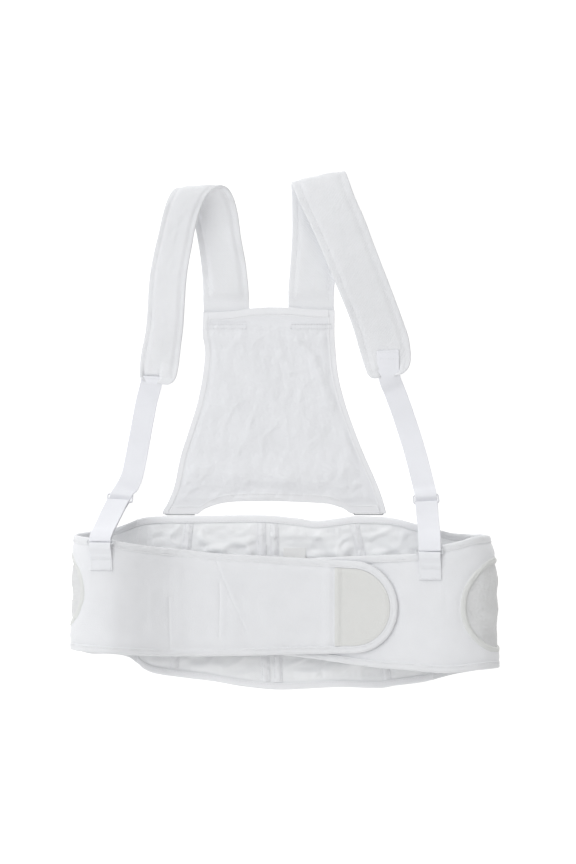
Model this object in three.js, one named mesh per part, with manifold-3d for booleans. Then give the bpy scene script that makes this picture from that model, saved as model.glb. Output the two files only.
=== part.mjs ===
// Maternity support belt with shoulder straps, closed and lying on its back.
// Millimetres. X runs across the belt, Y up the back, Z away from the surface that it lies on.
// Y is 0 at the middle height of the belt while the pieces are made. At the end everything moves
// together, so that the origin is under the middle of the whole belt.

import * as THREE from "three";
import { mergeVertices } from "three/addons/utils/BufferGeometryUtils.js";
import Module from "manifold-3d";

const wasm = await Module();
wasm.setup();

const { Vector2, Vector3 } = THREE;

// Clearances
const gap = 0.3;

// Belt
const beltHalfWidth = 216;
const ridgeHeight = 57.5;
const bandHalfHeight = 52;
const bandThickness = 3.2;
const bandOverlapGap = 0.6;
const bindingWidth = 7.5;
const bindingRaise = 0.4;
const raiseFrom = 4.3;
const raiseOver = 14.4;

// Lumbar panel
const lumbarHalfHeight = 90;
const lumbarThickness = 3;
const lumbarSeam = 0.695 * beltHalfWidth;
const channelWidth = 9;
const channelThickness = 1;
const labelWidth = 23;
const labelLength = 34;
const labelThickness = 0.6;

// Side windows
const windowHalfLength = 46;
const windowHalfHeight = 45;
const rimWidth = 5;
const rimClearance = 0.6;
const rimRaise = 0.6;
const windowThickness = 1.2;

// Closure at the end of the upper band
const patchThickness = 1;
const patchOverhang = 18;

// Upper back panel
const upperHeight = 205;
const upperHalfWidth = 115;
const upperCentreX = -11;
const upperThickness = 1.6;
const upperEdgeWidth = 7;
const upperHemWidth = 9;
const cornerWidth = 36;
const archHeight = 10.5;
const topCrown = 5;
const foldRise = 4;
const sewnLength = 19;
const sewnStepRoom = 22;
const sewnStepRun = 18;

// Shoulder straps
const strapWidth = 47;
const strapThickness = 5;
const strapSewnThickness = 2;
const strapReach = 130;
const rollHeight = 41;

// Elastics, sliders and hooks
const elasticWidth = 22.5;
const elasticThickness = 1.2;
const sliderBar = 2.4;
const sliderWindow = 6.4;
const sliderThickness = 2;
const sideClearance = 1.5;
const bendClearance = 0.1;
const sliderApproach = 8;
const barOverrun = 2;
const hookApproach = 3;
const wireDiameter = 1.8;
const backHookWidth = 30;
const backHookCorner = 1.1;
const tabWidth = 22;
const tabLength = 24;
const tabReturn = 9;
const tabThickness = 1.2;
const hookDrop = 7;
const tabSettle = 5;

// Finishes
const cottonWhite = { color: 0xf2f2f3, roughness: 0.9, metalness: 0 };
const netWhite = { color: 0xeeeeee, roughness: 0.85, metalness: 0 };
const tapeWhite = { color: 0xf4f4f5, roughness: 0.8, metalness: 0 };
const plasticWhite = { color: 0xf3f3f3, roughness: 0.35, metalness: 0 };
const coatedWire = { color: 0xdcdcdc, roughness: 0.3, metalness: 0.1 };

// Small helpers

// Turns a table into rows with named columns.
function rowsOf(columns, table) {
  return table.map((row) => Object.fromEntries(columns.map((name, k) => [name, row[k]])));
}

// A smooth function through the rows of a table, flat beyond its ends.
function follow(rows, inName, outName) {
  const xs = rows.map((row) => row[inName]);
  const ys = rows.map((row) => row[outName]);
  const last = xs.length - 1;
  const rise = (k) => (ys[k + 1] - ys[k]) / (xs[k + 1] - xs[k]);
  const slope = (k) => {
    if (k === 0) return rise(0);
    if (k === last) return rise(last - 1);
    const [before, after] = [rise(k - 1), rise(k)];
    return before * after <= 0 ? 0 : (2 * before * after) / (before + after);
  };
  return (x) => {
    if (x <= xs[0]) return ys[0];
    if (x >= xs[last]) return ys[last];
    const k = xs.findIndex((value) => value > x) - 1;
    const span = xs[k + 1] - xs[k];
    const t = (x - xs[k]) / span;
    const t2 = t * t;
    const t3 = t2 * t;
    return (2 * t3 - 3 * t2 + 1) * ys[k] + (t3 - 2 * t2 + t) * span * slope(k)
      + (3 * t2 - 2 * t3) * ys[k + 1] + (t3 - t2) * span * slope(k + 1);
  };
}

const mix = (a, b, t) => a + (b - a) * t;
const clamp01 = (t) => Math.min(Math.max(t, 0), 1);
const ease = (t) => clamp01(t) ** 2 * (3 - 2 * clamp01(t));
const steps = (count) => Array.from({ length: count + 1 }, (_, k) => k / count);

// Closed solid from two grids of points with the same rows and columns. A looped solid joins its
// last row to its first.
function between(lower, upper, looped = false) {
  const rows = lower.length;
  const columns = lower[0].length;
  const points = [...lower.flat(), ...upper.flat()];
  const at = (side, i, j) => (side * rows + (i % rows)) * columns + j;
  const index = [];
  const quad = (a, b, c, d) => index.push(a, b, c, a, c, d);
  for (let i = 0; i < (looped ? rows : rows - 1); i += 1) {
    for (let j = 0; j < columns - 1; j += 1) {
      quad(at(1, i, j), at(1, i + 1, j), at(1, i + 1, j + 1), at(1, i, j + 1));
      quad(at(0, i, j), at(0, i, j + 1), at(0, i + 1, j + 1), at(0, i + 1, j));
    }
    quad(at(0, i, 0), at(0, i + 1, 0), at(1, i + 1, 0), at(1, i, 0));
    const last = columns - 1;
    quad(at(0, i + 1, last), at(0, i, last), at(1, i, last), at(1, i + 1, last));
  }
  for (let j = 0; j < columns - 1 && !looped; j += 1) {
    quad(at(0, 0, j + 1), at(0, 0, j), at(1, 0, j), at(1, 0, j + 1));
    quad(at(0, rows - 1, j), at(0, rows - 1, j + 1), at(1, rows - 1, j + 1), at(1, rows - 1, j));
  }
  return facingOut(points, index);
}

// A geometry from points and triangles, turned so that its faces point out.
function facingOut(points, index) {
  let volume = 0;
  for (let k = 0; k < index.length; k += 3) {
    const [a, b, c] = [points[index[k]], points[index[k + 1]], points[index[k + 2]]];
    volume += a.dot(new Vector3().crossVectors(b, c));
  }
  if (volume < 0) {
    for (let k = 0; k < index.length; k += 3) [index[k], index[k + 1]] = [index[k + 1], index[k]];
  }
  const geometry = new THREE.BufferGeometry().setFromPoints(points);
  geometry.setIndex(index);
  return geometry;
}

// Unit normals of a grid of points.
function normalsOf(grid) {
  const lastRow = grid.length - 1;
  return grid.map((row, i) => row.map((_, j) => {
    const along = new Vector3().subVectors(grid[Math.min(i + 1, lastRow)][j], grid[Math.max(i - 1, 0)][j]);
    const left = row[Math.max(j - 1, 0)];
    const right = row[Math.min(j + 1, row.length - 1)];
    return along.cross(new Vector3().subVectors(right, left)).normalize();
  }));
}

// A sheet with its middle on a grid of points; thickness is a number or a function of row and column.
function sheet(grid, thickness) {
  const normals = normalsOf(grid);
  const half = (i, j) => (typeof thickness === "function" ? thickness(i, j) : thickness) / 2;
  const side = (sign) => grid.map((row, i) => row.map((point, j) => (
    point.clone().addScaledVector(normals[i][j], sign * half(i, j)))));
  return between(side(-1), side(1));
}

// A flexible strip along a line of points, each with its width direction.
function ribbon(line, width, thickness) {
  const grid = line.map(({ point, across }) => (
    [-0.5, 0.5].map((share) => point.clone().addScaledVector(across, share * width))));
  return sheet(grid, thickness);
}

// A wire bent to a closed flat loop with round corners, about a centre.
function wireLoop(centre, across, up, width, corner) {
  const sides = 6;
  const turnSteps = 4;
  const straight = width / 2 - corner;
  const facing = new Vector3().crossVectors(across, up).normalize();
  const rings = [];
  for (const end of [1, -1]) {
    for (const share of steps(turnSteps)) {
      const angle = end * (Math.PI / 2) - end * share * Math.PI * end;
      const outward = across.clone().multiplyScalar(Math.cos(angle)).addScaledVector(up, Math.sin(angle));
      const middle = centre.clone().addScaledVector(across, end * straight).addScaledVector(outward, corner);
      rings.push(Array.from({ length: sides }, (_, k) => {
        const turn = (k / sides) * Math.PI * 2;
        return middle.clone().addScaledVector(outward, (wireDiameter / 2) * Math.cos(turn))
          .addScaledVector(facing, (wireDiameter / 2) * Math.sin(turn));
      }));
    }
  }
  const index = [];
  const at = (i, k) => (i % rings.length) * sides + (k % sides);
  for (let i = 0; i < rings.length; i += 1) {
    for (let k = 0; k < sides; k += 1) {
      index.push(at(i, k), at(i + 1, k), at(i + 1, k + 1), at(i, k), at(i + 1, k + 1), at(i, k + 1));
    }
  }
  return facingOut(rings.flat(), index);
}

// The part of one closed geometry that is outside another.
function cut(body, tool) {
  const solid = (geometry) => {
    const merged = mergeVertices(geometry, 1e-4);
    return new wasm.Manifold(new wasm.Mesh({
      numProp: 3,
      vertProperties: new Float32Array(merged.attributes.position.array),
      triVerts: new Uint32Array(merged.index.array),
    }));
  };
  const result = solid(body).subtract(solid(tool)).getMesh();
  const geometry = new THREE.BufferGeometry();
  geometry.setAttribute("position", new THREE.BufferAttribute(result.vertProperties, 3));
  geometry.setIndex(new THREE.BufferAttribute(result.triVerts, 1));
  return geometry;
}

// Height of a panel's soft folds at a point: each row is a ridge from one place to another.
function foldHeight(folds, x, y) {
  const here = new Vector2(x, y);
  let height = 0;
  for (const fold of folds) {
    const start = new Vector2(fold.fromX, fold.fromY);
    const run = new Vector2(fold.toX, fold.toY).sub(start);
    const share = clamp01(here.clone().sub(start).dot(run) / run.lengthSq());
    const distance = here.distanceTo(start.addScaledVector(run, share));
    height += fold.height * Math.exp(-((distance / fold.width) ** 2));
  }
  return height;
}

// Outline of the lumbar panel, as shares of the belt's half width and the panel's half height.
const lumbarTopShares = rowsOf(["x", "y"], [
  [-0.7, 0.975], [-0.66, 1.0], [-0.6, 1.012], [-0.47, 1.015], [-0.125, 1.025], [0.07, 0.985], [0.14, 0.96],
  [0.27, 0.993], [0.325, 1.01], [0.486, 1.0], [0.634, 0.917], [0.7, 0.882],
]);
const lumbarBottomShares = rowsOf(["x", "y"], [
  [-0.7, -0.67], [-0.68, -0.725], [-0.62, -0.79], [-0.52, -0.827], [-0.343, -0.88], [-0.195, -0.94],
  [-0.024, -0.976], [0.27, -0.947], [0.443, -0.96], [0.53, -0.93], [0.662, -0.888], [0.7, -0.865],
]);
const lumbarTopAt = follow(lumbarTopShares, "x", "y");
const lumbarBottomAt = follow(lumbarBottomShares, "x", "y");
const lumbarTop = (x) => lumbarTopAt(x / beltHalfWidth) * lumbarHalfHeight;
const lumbarBottom = (x) => lumbarBottomAt(x / beltHalfWidth) * lumbarHalfHeight;

// Belt bands

const sampleSteps = 300;
const lastStation = 0.995;

// A band follows a path in XZ. Places on it are (s, y, n): distance along the path, height on the
// belt, and distance outwards from its middle surface.
class BandPath {
  constructor(rows, outerSide) {
    const sampleCount = 600;
    const centre = new THREE.CatmullRomCurve3(rows.map((row) => new Vector3(row.x, 0, row.z)));
    const edges = ["top", "bottom"].map((name) => (
      follow(rows.map((row, k) => ({ k: k / (rows.length - 1), y: row[name] })), "k", "y")));
    this.samples = [];
    let distance = 0;
    for (const t of steps(sampleCount)) {
      const point = centre.getPoint(t);
      const tangent = centre.getTangent(t);
      if (point.z <= bandThickness / 2) {
        point.z = bandThickness / 2;
        tangent.set(Math.sign(tangent.x), 0, 0);
      }
      if (this.samples.length) distance += point.distanceTo(this.samples.at(-1).point);
      const normal = new Vector3(-tangent.z * outerSide, 0, tangent.x * outerSide);
      this.samples.push({ distance, point, tangent, normal, top: edges[0](t), bottom: edges[1](t) });
    }
    this.length = distance;
  }

  at(s) {
    const next = this.samples.findIndex((sample) => sample.distance >= s);
    if (next === 0) return this.samples[0];
    if (next < 0) return this.samples.at(-1);
    const [a, b] = [this.samples[next - 1], this.samples[next]];
    const t = (s - a.distance) / (b.distance - a.distance);
    return {
      point: a.point.clone().lerp(b.point, t),
      tangent: a.tangent.clone().lerp(b.tangent, t).normalize(),
      normal: a.normal.clone().lerp(b.normal, t).normalize(),
      top: mix(a.top, b.top, t),
      bottom: mix(a.bottom, b.bottom, t),
    };
  }

  place(s, y, n) {
    const here = this.at(s);
    return here.point.clone().addScaledVector(here.normal, n).setY(y);
  }

  // Distances between two places, closer together where the band bends.
  stations(from, to) {
    const longestStep = 18;
    const largestTurn = 0.3;
    const picked = [from];
    let used = 0;
    let before = this.at(from);
    for (const share of steps(sampleSteps)) {
      const s = mix(from, to, share);
      const here = this.at(s);
      used += here.point.distanceTo(before.point) / longestStep
        + here.tangent.angleTo(before.tangent) / largestTurn;
      before = here;
      if (used >= 1 && share < lastStation) {
        picked.push(s);
        used = 0;
      }
    }
    picked.push(to);
    return picked;
  }

  // The distance along the path of the front stretch's place at x.
  whereX(x, frontFrom) {
    const candidates = this.samples.filter((sample) => sample.distance >= frontFrom);
    return candidates.reduce((best, sample) => (
      Math.abs(sample.point.x - x) < Math.abs(best.point.x - x) ? sample : best)).distance;
  }
}

const bandSeat = bandThickness / 2 / ridgeHeight;

// Rows of a band, as shares of the belt's half width, the ridge height and the band's half height.
const bandColumns = ["x", "z", "top", "bottom"];
const rightBandShares = rowsOf(bandColumns, [
  [0.697, bandSeat, 1.53, -1.5],
  [0.75, bandSeat, 1.46, -1.44],
  [0.805, bandSeat, 1.41, -1.38],
  [0.86, bandSeat, 1.4, -1.34],
  [0.915, 0.065, 1.39, -1.3],
  [0.97, 0.19, 1.4, -1.26],
  [1.0, 0.42, 1.39, -1.21],
  [0.988, 0.61, 1.4, -1.185],
  [0.945, 0.785, 1.4, -1.17],
  [0.88, 0.895, 1.38, -1.185],
  [0.797, 0.94, 1.295, -1.22],
  [0.718, 0.922, 1.22, -1.235],
  [0.602, 0.817, 1.06, -1.2],
  [0.463, 0.66, 1.025, -1.18],
  [0.3, 0.505, 0.985, -1.115],
  [0.14, 0.4, 0.95, -1.03],
  [-0.046, 0.345, 0.917, -0.945],
  [-0.23, 0.33, 0.905, -0.9],
  [-0.39, 0.325, 0.895, -0.875],
  [-0.52, 0.32, 0.893, -0.87],
]);
const leftSideShares = rowsOf(bandColumns, [
  [-0.697, bandSeat, 1.69, -1.17],
  [-0.745, bandSeat, 1.61, -1.03],
  [-0.8, bandSeat, 1.53, -0.98],
  [-0.86, bandSeat, 1.48, -0.97],
  [-0.91, 0.07, 1.47, -0.97],
  [-0.968, 0.19, 1.44, -0.91],
  [-1.0, 0.42, 1.42, -0.84],
  [-0.985, 0.66, 1.4, -0.83],
  [-0.925, 0.89, 1.38, -0.835],
  [-0.852, 0.99, 1.35, -0.845],
  [-0.797, 1.0, 1.33, -0.865],
  [-0.73, 0.92, 1.27, -0.89],
  [-0.648, 0.765, 1.21, -0.92],
  [-0.565, 0.615, 1.16, -0.95],
  [-0.48, 0.505, 1.12, -0.965],
]);

// The front of the upper band lies over the lower one: lift is in shares of the ridge height.
const leftFrontShares = rowsOf(["x", "lift", "top", "bottom"], [
  [-0.325, 0.055, 1.045, -0.97],
  [-0.125, 0.04, 1.0, -0.955],
  [0.07, 0.02, 0.955, -0.93],
  [0.21, 0.01, 0.925, -0.915],
  [0.32, 0.0, 0.905, -0.895],
  [0.43, 0.0, 0.9, -0.89],
  [0.55, 0.0, 0.9, -0.89],
]);

const bandRow = ({ x, z, top, bottom }) => ({
  x: x * beltHalfWidth, z: z * ridgeHeight, top: top * bandHalfHeight, bottom: bottom * bandHalfHeight,
});

// A band is as tall as the lumbar panel at their seam, and comes to its own height over these rows.
const rootRows = 6;
function fromSeam(rows, seamX) {
  const topRise = lumbarTop(seamX) - rows[0].top;
  const bottomRise = lumbarBottom(seamX) - rows[0].bottom;
  return rows.map((row, k) => {
    const share = ease(1 - k / rootRows);
    return { ...row, top: row.top + topRise * share, bottom: row.bottom + bottomRise * share };
  });
}

// The front of a band starts after this share of its length.
const frontShare = { left: 0.4, right: 0.35 };
const rightBand = new BandPath(fromSeam(rightBandShares.map(bandRow), lumbarSeam), -1);
const frontStart = rightBand.length * frontShare.right;

// Height of the lower band's middle at x, with the room that the upper band needs above it.
function overRightBand(x) {
  const here = rightBand.at(rightBand.whereX(x, frontStart));
  const tilt = Math.abs(here.normal.z);
  return here.point.z + (bandThickness + 2 * bindingRaise + bandOverlapGap) / tilt;
}

const leftBand = new BandPath(fromSeam([
  ...leftSideShares.map(bandRow),
  ...leftFrontShares.map((row) => ({
    ...bandRow({ ...row, z: row.lift }),
    z: overRightBand(row.x * beltHalfWidth) + row.lift * ridgeHeight,
  })),
], -lumbarSeam), 1);

// The round end of the upper band: a half circle after the place where its radius fits.
const roundEndX = 0.526 * beltHalfWidth;
const roundTip = leftBand.whereX(roundEndX, leftBand.length * frontShare.left);
const roundRadius = (leftBand.at(roundTip).top - leftBand.at(roundTip).bottom) / 2;
const roundFrom = roundTip - roundRadius;
const roundCentreY = (leftBand.at(roundFrom).top + leftBand.at(roundFrom).bottom) / 2;
const roundSize = (leftBand.at(roundFrom).top - leftBand.at(roundFrom).bottom) / 2;
const roundSteps = 9;
const roundLast = 0.93;

// Rows [s, low y, high y] that cover a band, inset from its bound edge.
function leftBandRows(inset, from = gap) {
  const rows = leftBand.stations(from, roundFrom).map((s) => {
    const { top, bottom } = leftBand.at(s);
    return [s, bottom + inset, top - inset];
  });
  for (const share of steps(roundSteps).slice(1)) {
    const angle = (Math.PI / 2) * share * roundLast;
    const radius = roundSize - inset;
    rows.push([
      roundFrom + radius * Math.sin(angle),
      roundCentreY - radius * Math.cos(angle),
      roundCentreY + radius * Math.cos(angle),
    ]);
  }
  return rows;
}

const bandInset = bindingWidth + gap;
const rightStations = rightBand.stations(gap, rightBand.length - bandInset).slice(0, -1);

function rightBandRows(inset) {
  return [...rightStations, rightBand.length - inset].map((s) => {
    const { top, bottom } = rightBand.at(s);
    return [s, bottom + inset, top - inset];
  });
}

// A layer over rows of a band, between two distances from its middle surface.
function bandLayer(path, rows, columns, inner, outer) {
  const side = (n) => rows.map(([s, low, high]) => (
    steps(columns).map((share) => path.place(s, mix(low, high, share), n))));
  return between(side(inner), side(outer));
}

// A bound edge: up one side of the band, round its end and back, in rows of [s, y] pairs.
function bindingOutline(rows, endSteps) {
  const lastRow = rows.at(-1);
  const top = rows.map(([s, , high]) => [s, high]);
  const end = steps(endSteps).slice(1, -1).map((share) => [lastRow[0], mix(lastRow[2], lastRow[1], share)]);
  const bottom = rows.map(([s, low]) => [s, low]).reverse();
  return [...top, ...end, ...bottom];
}

// The binding is flush with the band on the side that lies on the surface, and raised on both
// sides where the band is clear of it.
function bandBinding(path, outer, inner) {
  const side = (sign) => outer.map(([s, y], k) => {
    const risen = ease((path.at(s).point.z - raiseFrom) / raiseOver);
    const raised = bandThickness / 2 + bindingRaise;
    const half = sign > 0 ? mix(bandThickness / 2, raised, risen) : raised;
    return [path.place(s, y, sign * half), path.place(inner[k][0], inner[k][1], sign * half)];
  });
  return between(side(-1), side(1));
}

// Side windows: oval cut-outs with a bound rim and thin fabric inside.
const windows = {
  left: { path: leftBand, centreZ: 0.2, centreY: 0.33, height: 0.91 },
  right: { path: rightBand, centreZ: 0.56, centreY: 0.04, height: 1.06 },
};

// Where on the side bulge of a band its middle surface has a height.
const bulgeShare = 0.02;
function whereHeight(path, share) {
  return path.samples.find((sample) => sample.distance > path.length * bulgeShare
    && sample.point.z >= share * ridgeHeight).distance;
}

function ovalPoint(opening, inset, u, v) {
  const s = whereHeight(opening.path, opening.centreZ) + (windowHalfLength - inset) * u;
  const y = opening.centreY * bandHalfHeight + (windowHalfHeight * opening.height - inset) * v;
  return [s, y];
}

// A full oval between two distances from the band's middle surface.
function ovalLayer(opening, inset, divisions, inner, outer) {
  const side = (n) => steps(divisions).map((a) => steps(divisions).map((b) => {
    const [u, v] = [2 * a - 1, 2 * b - 1];
    const round = [u * Math.sqrt(1 - (v * v) / 2), v * Math.sqrt(1 - (u * u) / 2)];
    const [s, y] = ovalPoint(opening, inset, ...round);
    return opening.path.place(s, y, n);
  }));
  return between(side(inner), side(outer));
}

function ovalRim(opening) {
  const count = 44;
  const half = bandThickness / 2 + rimRaise;
  const side = (n) => Array.from({ length: count }, (_, k) => {
    const angle = (k / count) * Math.PI * 2;
    return [rimClearance, rimWidth].map((inset) => {
      const [s, y] = ovalPoint(opening, inset, Math.cos(angle), Math.sin(angle));
      const under = opening.path.place(s, y, 0).z < half ? bandThickness / 2 : half;
      return opening.path.place(s, y, n > 0 ? under : -half);
    });
  });
  return between(side(-1), side(1), true);
}

const holeDivisions = 12;
const cutterReach = 4;
const windowDivisions = 8;

function bandWithWindow(opening, body) {
  return cut(body, ovalLayer(opening, 0, holeDivisions, -cutterReach, cutterReach));
}

function windowFabric(opening) {
  const inset = rimWidth + rimClearance;
  return ovalLayer(opening, inset, windowDivisions, -windowThickness / 2, windowThickness / 2);
}

// Lumbar panel
const puckerColumns = ["fromX", "fromY", "toX", "toY", "width", "height"];
const lumbarFolds = rowsOf(puckerColumns, [
  [-0.64, 0.8, -0.58, 0.45, 0.025, 1.6],
  [-0.4, 0.75, -0.2, 0.45, 0.03, 1.4],
  [-0.38, 0.2, -0.16, 0.62, 0.03, 1.4],
  [0.17, 0.8, 0.27, 0.5, 0.025, 1.6],
  [0.15, 0.25, 0.29, 0.6, 0.025, 1.2],
  [0.48, 0.8, 0.64, 0.35, 0.03, 1.8],
  [-0.42, -0.75, -0.2, -0.6, 0.03, 1.4],
  [0.08, -0.8, 0.36, -0.66, 0.03, 1.5],
]).map((fold) => ({
  fromX: fold.fromX * beltHalfWidth,
  fromY: fold.fromY * lumbarHalfHeight,
  toX: fold.toX * beltHalfWidth,
  toY: fold.toY * lumbarHalfHeight,
  width: fold.width * beltHalfWidth,
  height: fold.height,
}));
const lumbarColumns = 24;
const lumbarRows = 9;

// Stay channels: each runs from a place under the top binding to one above the bottom binding.
const channelShares = rowsOf(["top", "bottom"], [
  [-0.455, -0.54], [-0.115, -0.09], [-0.055, -0.03], [0.323, 0.5],
]);
const channelX = ({ top, bottom }, y) => (
  mix(bottom, top, (y / lumbarHalfHeight + 1) / 2) * beltHalfWidth);

const labelX = 0.045 * beltHalfWidth;
const labelTopY = 0.65 * lumbarHalfHeight;

// Middle surface of the lumbar panel, level at its edges and under the channels and the label.
function lumbarMiddle(x, y) {
  const fromEdge = Math.min(lumbarTop(x) - y, y - lumbarBottom(x), lumbarSeam - Math.abs(x)) - bindingWidth;
  const fromChannel = Math.min(...channelShares.map((channel) => Math.abs(x - channelX(channel, y))))
    - channelWidth / 2 - (2 * lumbarSeam) / lumbarColumns;
  const fromLabel = Math.max(Math.abs(x - labelX) - labelWidth / 2,
    Math.abs(y - labelTopY + labelLength / 2) - labelLength / 2);
  const level = ease(Math.min(fromEdge, fromChannel, fromLabel) / bindingWidth);
  return lumbarThickness / 2 + foldHeight(lumbarFolds, x, y) * level;
}

// A layer on the lumbar panel over x from one side to the other, between two functions of x.
function lumbarLayer(fromX, toX, low, high, across, up, below, above) {
  const side = (offset) => steps(across).map((a) => steps(up).map((b) => {
    const x = mix(fromX, toX, a);
    const y = mix(low(x), high(x), b);
    return new Vector3(x, y, lumbarMiddle(x, y) + offset);
  }));
  return between(side(below), side(above));
}

const lumbarHalf = lumbarThickness / 2;
const channelRows = 10;

function stayChannel(channel) {
  const { top, bottom } = channel;
  const lowest = lumbarBottom(bottom * beltHalfWidth) + bandInset + gap;
  const highest = lumbarTop(top * beltHalfWidth) - bandInset - gap;
  const side = (offset) => steps(channelRows).map((a) => {
    const y = mix(lowest, highest, a);
    return [-0.5, 0, 0.5].map((share) => {
      const x = channelX(channel, y) + share * channelWidth;
      return new Vector3(x, y, lumbarMiddle(x, y) + offset);
    });
  });
  return between(side(lumbarHalf + gap), side(lumbarHalf + gap + channelThickness));
}

function careLabel() {
  const low = () => labelTopY - labelLength;
  const high = () => labelTopY;
  const base = lumbarHalf + 2 * gap;
  return lumbarLayer(labelX - labelWidth / 2, labelX + labelWidth / 2, low, high, 4, 6,
    base, base + labelThickness);
}

// Upper back panel
const backHookHeight = 2 * backHookCorner + wireDiameter;
const cornerLeftX = upperCentreX - upperHalfWidth + cornerWidth / 2;
const cornerRightX = upperCentreX + upperHalfWidth - cornerWidth / 2;
const upperBottomY = Math.max(lumbarTop(cornerLeftX), lumbarTop(cornerRightX)) + backHookHeight + 2 * gap;
const upperTopY = upperBottomY + upperHeight;

const upperSideShares = rowsOf(["down", "left", "right"], [
  [0, 0.638, 0.54], [0.1, 0.645, 0.538], [0.2, 0.622, 0.55], [0.3, 0.638, 0.567], [0.45, 0.688, 0.63],
  [0.6, 0.77, 0.722], [0.73, 0.843, 0.815], [0.87, 0.895, 0.925], [0.95, 0.95, 0.975], [1, 1.0, 1.0],
]);
const upperLeftAt = follow(upperSideShares, "down", "left");
const upperRightAt = follow(upperSideShares, "down", "right");
const archShares = rowsOf(["across", "rise"], [
  [0, 0], [0.155, 0.0], [0.19, 0.3], [0.225, 0.62], [0.264, 0.83], [0.346, 0.97], [0.44, 1], [0.61, 0.9],
  [0.73, 0.76], [0.8, 0.36], [0.845, 0.0], [1, 0],
]);
const archAt = follow(archShares, "across", "rise");
const crownShares = rowsOf(["across", "rise"], [
  [0, 0], [0.2, 0.1], [0.36, 0.75], [0.5, 1], [0.64, 0.95], [0.8, 0.6], [1, 0.45],
]);
const crownAt = follow(crownShares, "across", "rise");

// A place on the upper panel: across from its left to its right edge, down from its top hem.
function upperPlace(across, down) {
  const top = upperTopY + crownAt(across) * topCrown;
  const bottom = upperBottomY + archAt(across) * archHeight;
  const y = mix(top, bottom, down);
  const level = (upperTopY - y) / upperHeight;
  const left = upperCentreX - upperLeftAt(level) * upperHalfWidth;
  const right = upperCentreX + upperRightAt(level) * upperHalfWidth;
  return new Vector2(mix(left, right, across), y);
}

const upperFolds = rowsOf(puckerColumns, [
  [-0.72, 0.78, -0.32, 0.835, 0.055, 0.75],
  [-0.32, 0.835, 0.1, 0.85, 0.055, 0.9],
  [0.1, 0.85, 0.66, 0.8, 0.055, 0.8],
  [0.08, 0.08, 0.24, 0.27, 0.05, 0.6],
  [0.26, 0.1, 0.42, 0.24, 0.045, 0.8],
  [0.42, 0.24, 0.53, 0.42, 0.045, 0.9],
  [-0.35, 0.2, -0.15, 0.33, 0.06, 0.3],
  [-0.4, 0.45, -0.2, 0.62, 0.06, 0.3],
]).map((fold) => ({
  fromX: upperCentreX + fold.fromX * upperHalfWidth,
  fromY: upperTopY - fold.fromY * upperHeight,
  toX: upperCentreX + fold.toX * upperHalfWidth,
  toY: upperTopY - fold.toY * upperHeight,
  width: fold.width * upperHalfWidth * 2,
  height: fold.height * foldRise,
}));

// Middle surface of the upper panel: it lies on the straps' sewn ends at its top.
function upperMiddle(x, y) {
  const onStraps = ease((y - (upperTopY - sewnLength - sewnStepRoom)) / sewnStepRun);
  const seat = (strapSewnThickness + 2 * gap) * onStraps;
  const level = clamp01((upperTopY - y) / upperHeight);
  const left = upperCentreX - upperLeftAt(level) * upperHalfWidth;
  const right = upperCentreX + upperRightAt(level) * upperHalfWidth;
  const fromSide = Math.min(x - left, right - x) - upperEdgeWidth;
  const fromHem = Math.min(1 - level, level) * upperHeight - 2 * upperHemWidth;
  const inside = ease(Math.min(fromSide, fromHem) / (2 * upperEdgeWidth));
  return upperThickness / 2 + seat + foldHeight(upperFolds, x, y) * inside;
}

// A layer of the upper panel between two shares down. acrossAt lists its places across there.
function upperLayer(acrossAt, downFrom, downTo, rows) {
  const grid = steps(rows).map((b) => {
    const down = mix(downFrom, downTo, b);
    return acrossAt(down).map((across) => {
      const flat = upperPlace(across, down);
      return new Vector3(flat.x, flat.y, upperMiddle(flat.x, flat.y));
    });
  });
  const side = (offset) => grid.map((row) => row.map((p) => new Vector3(p.x, p.y, p.z + offset)));
  return between(side(-upperThickness / 2), side(upperThickness / 2));
}

// Width of the panel at a share down, to turn a width of edging into a share across.
function upperWidth(down) {
  return upperHalfWidth * (upperLeftAt(down) + upperRightAt(down));
}
const hemShare = upperHemWidth / upperHeight;
const bodyFrom = (upperHemWidth + gap) / upperHeight;
const upperColumns = 16;
const upperRows = 16;
const bodyAcross = (down) => {
  const edge = (upperEdgeWidth + gap) / upperWidth(down);
  return steps(upperColumns).map((a) => mix(edge, 1 - edge, a));
};
const hemAcross = (down) => [0, ...bodyAcross(down), 1];
const leftAcross = (down) => [0, upperEdgeWidth / upperWidth(down)];
const rightAcross = (down) => [1 - upperEdgeWidth / upperWidth(down), 1];

// Shoulder straps

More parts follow.
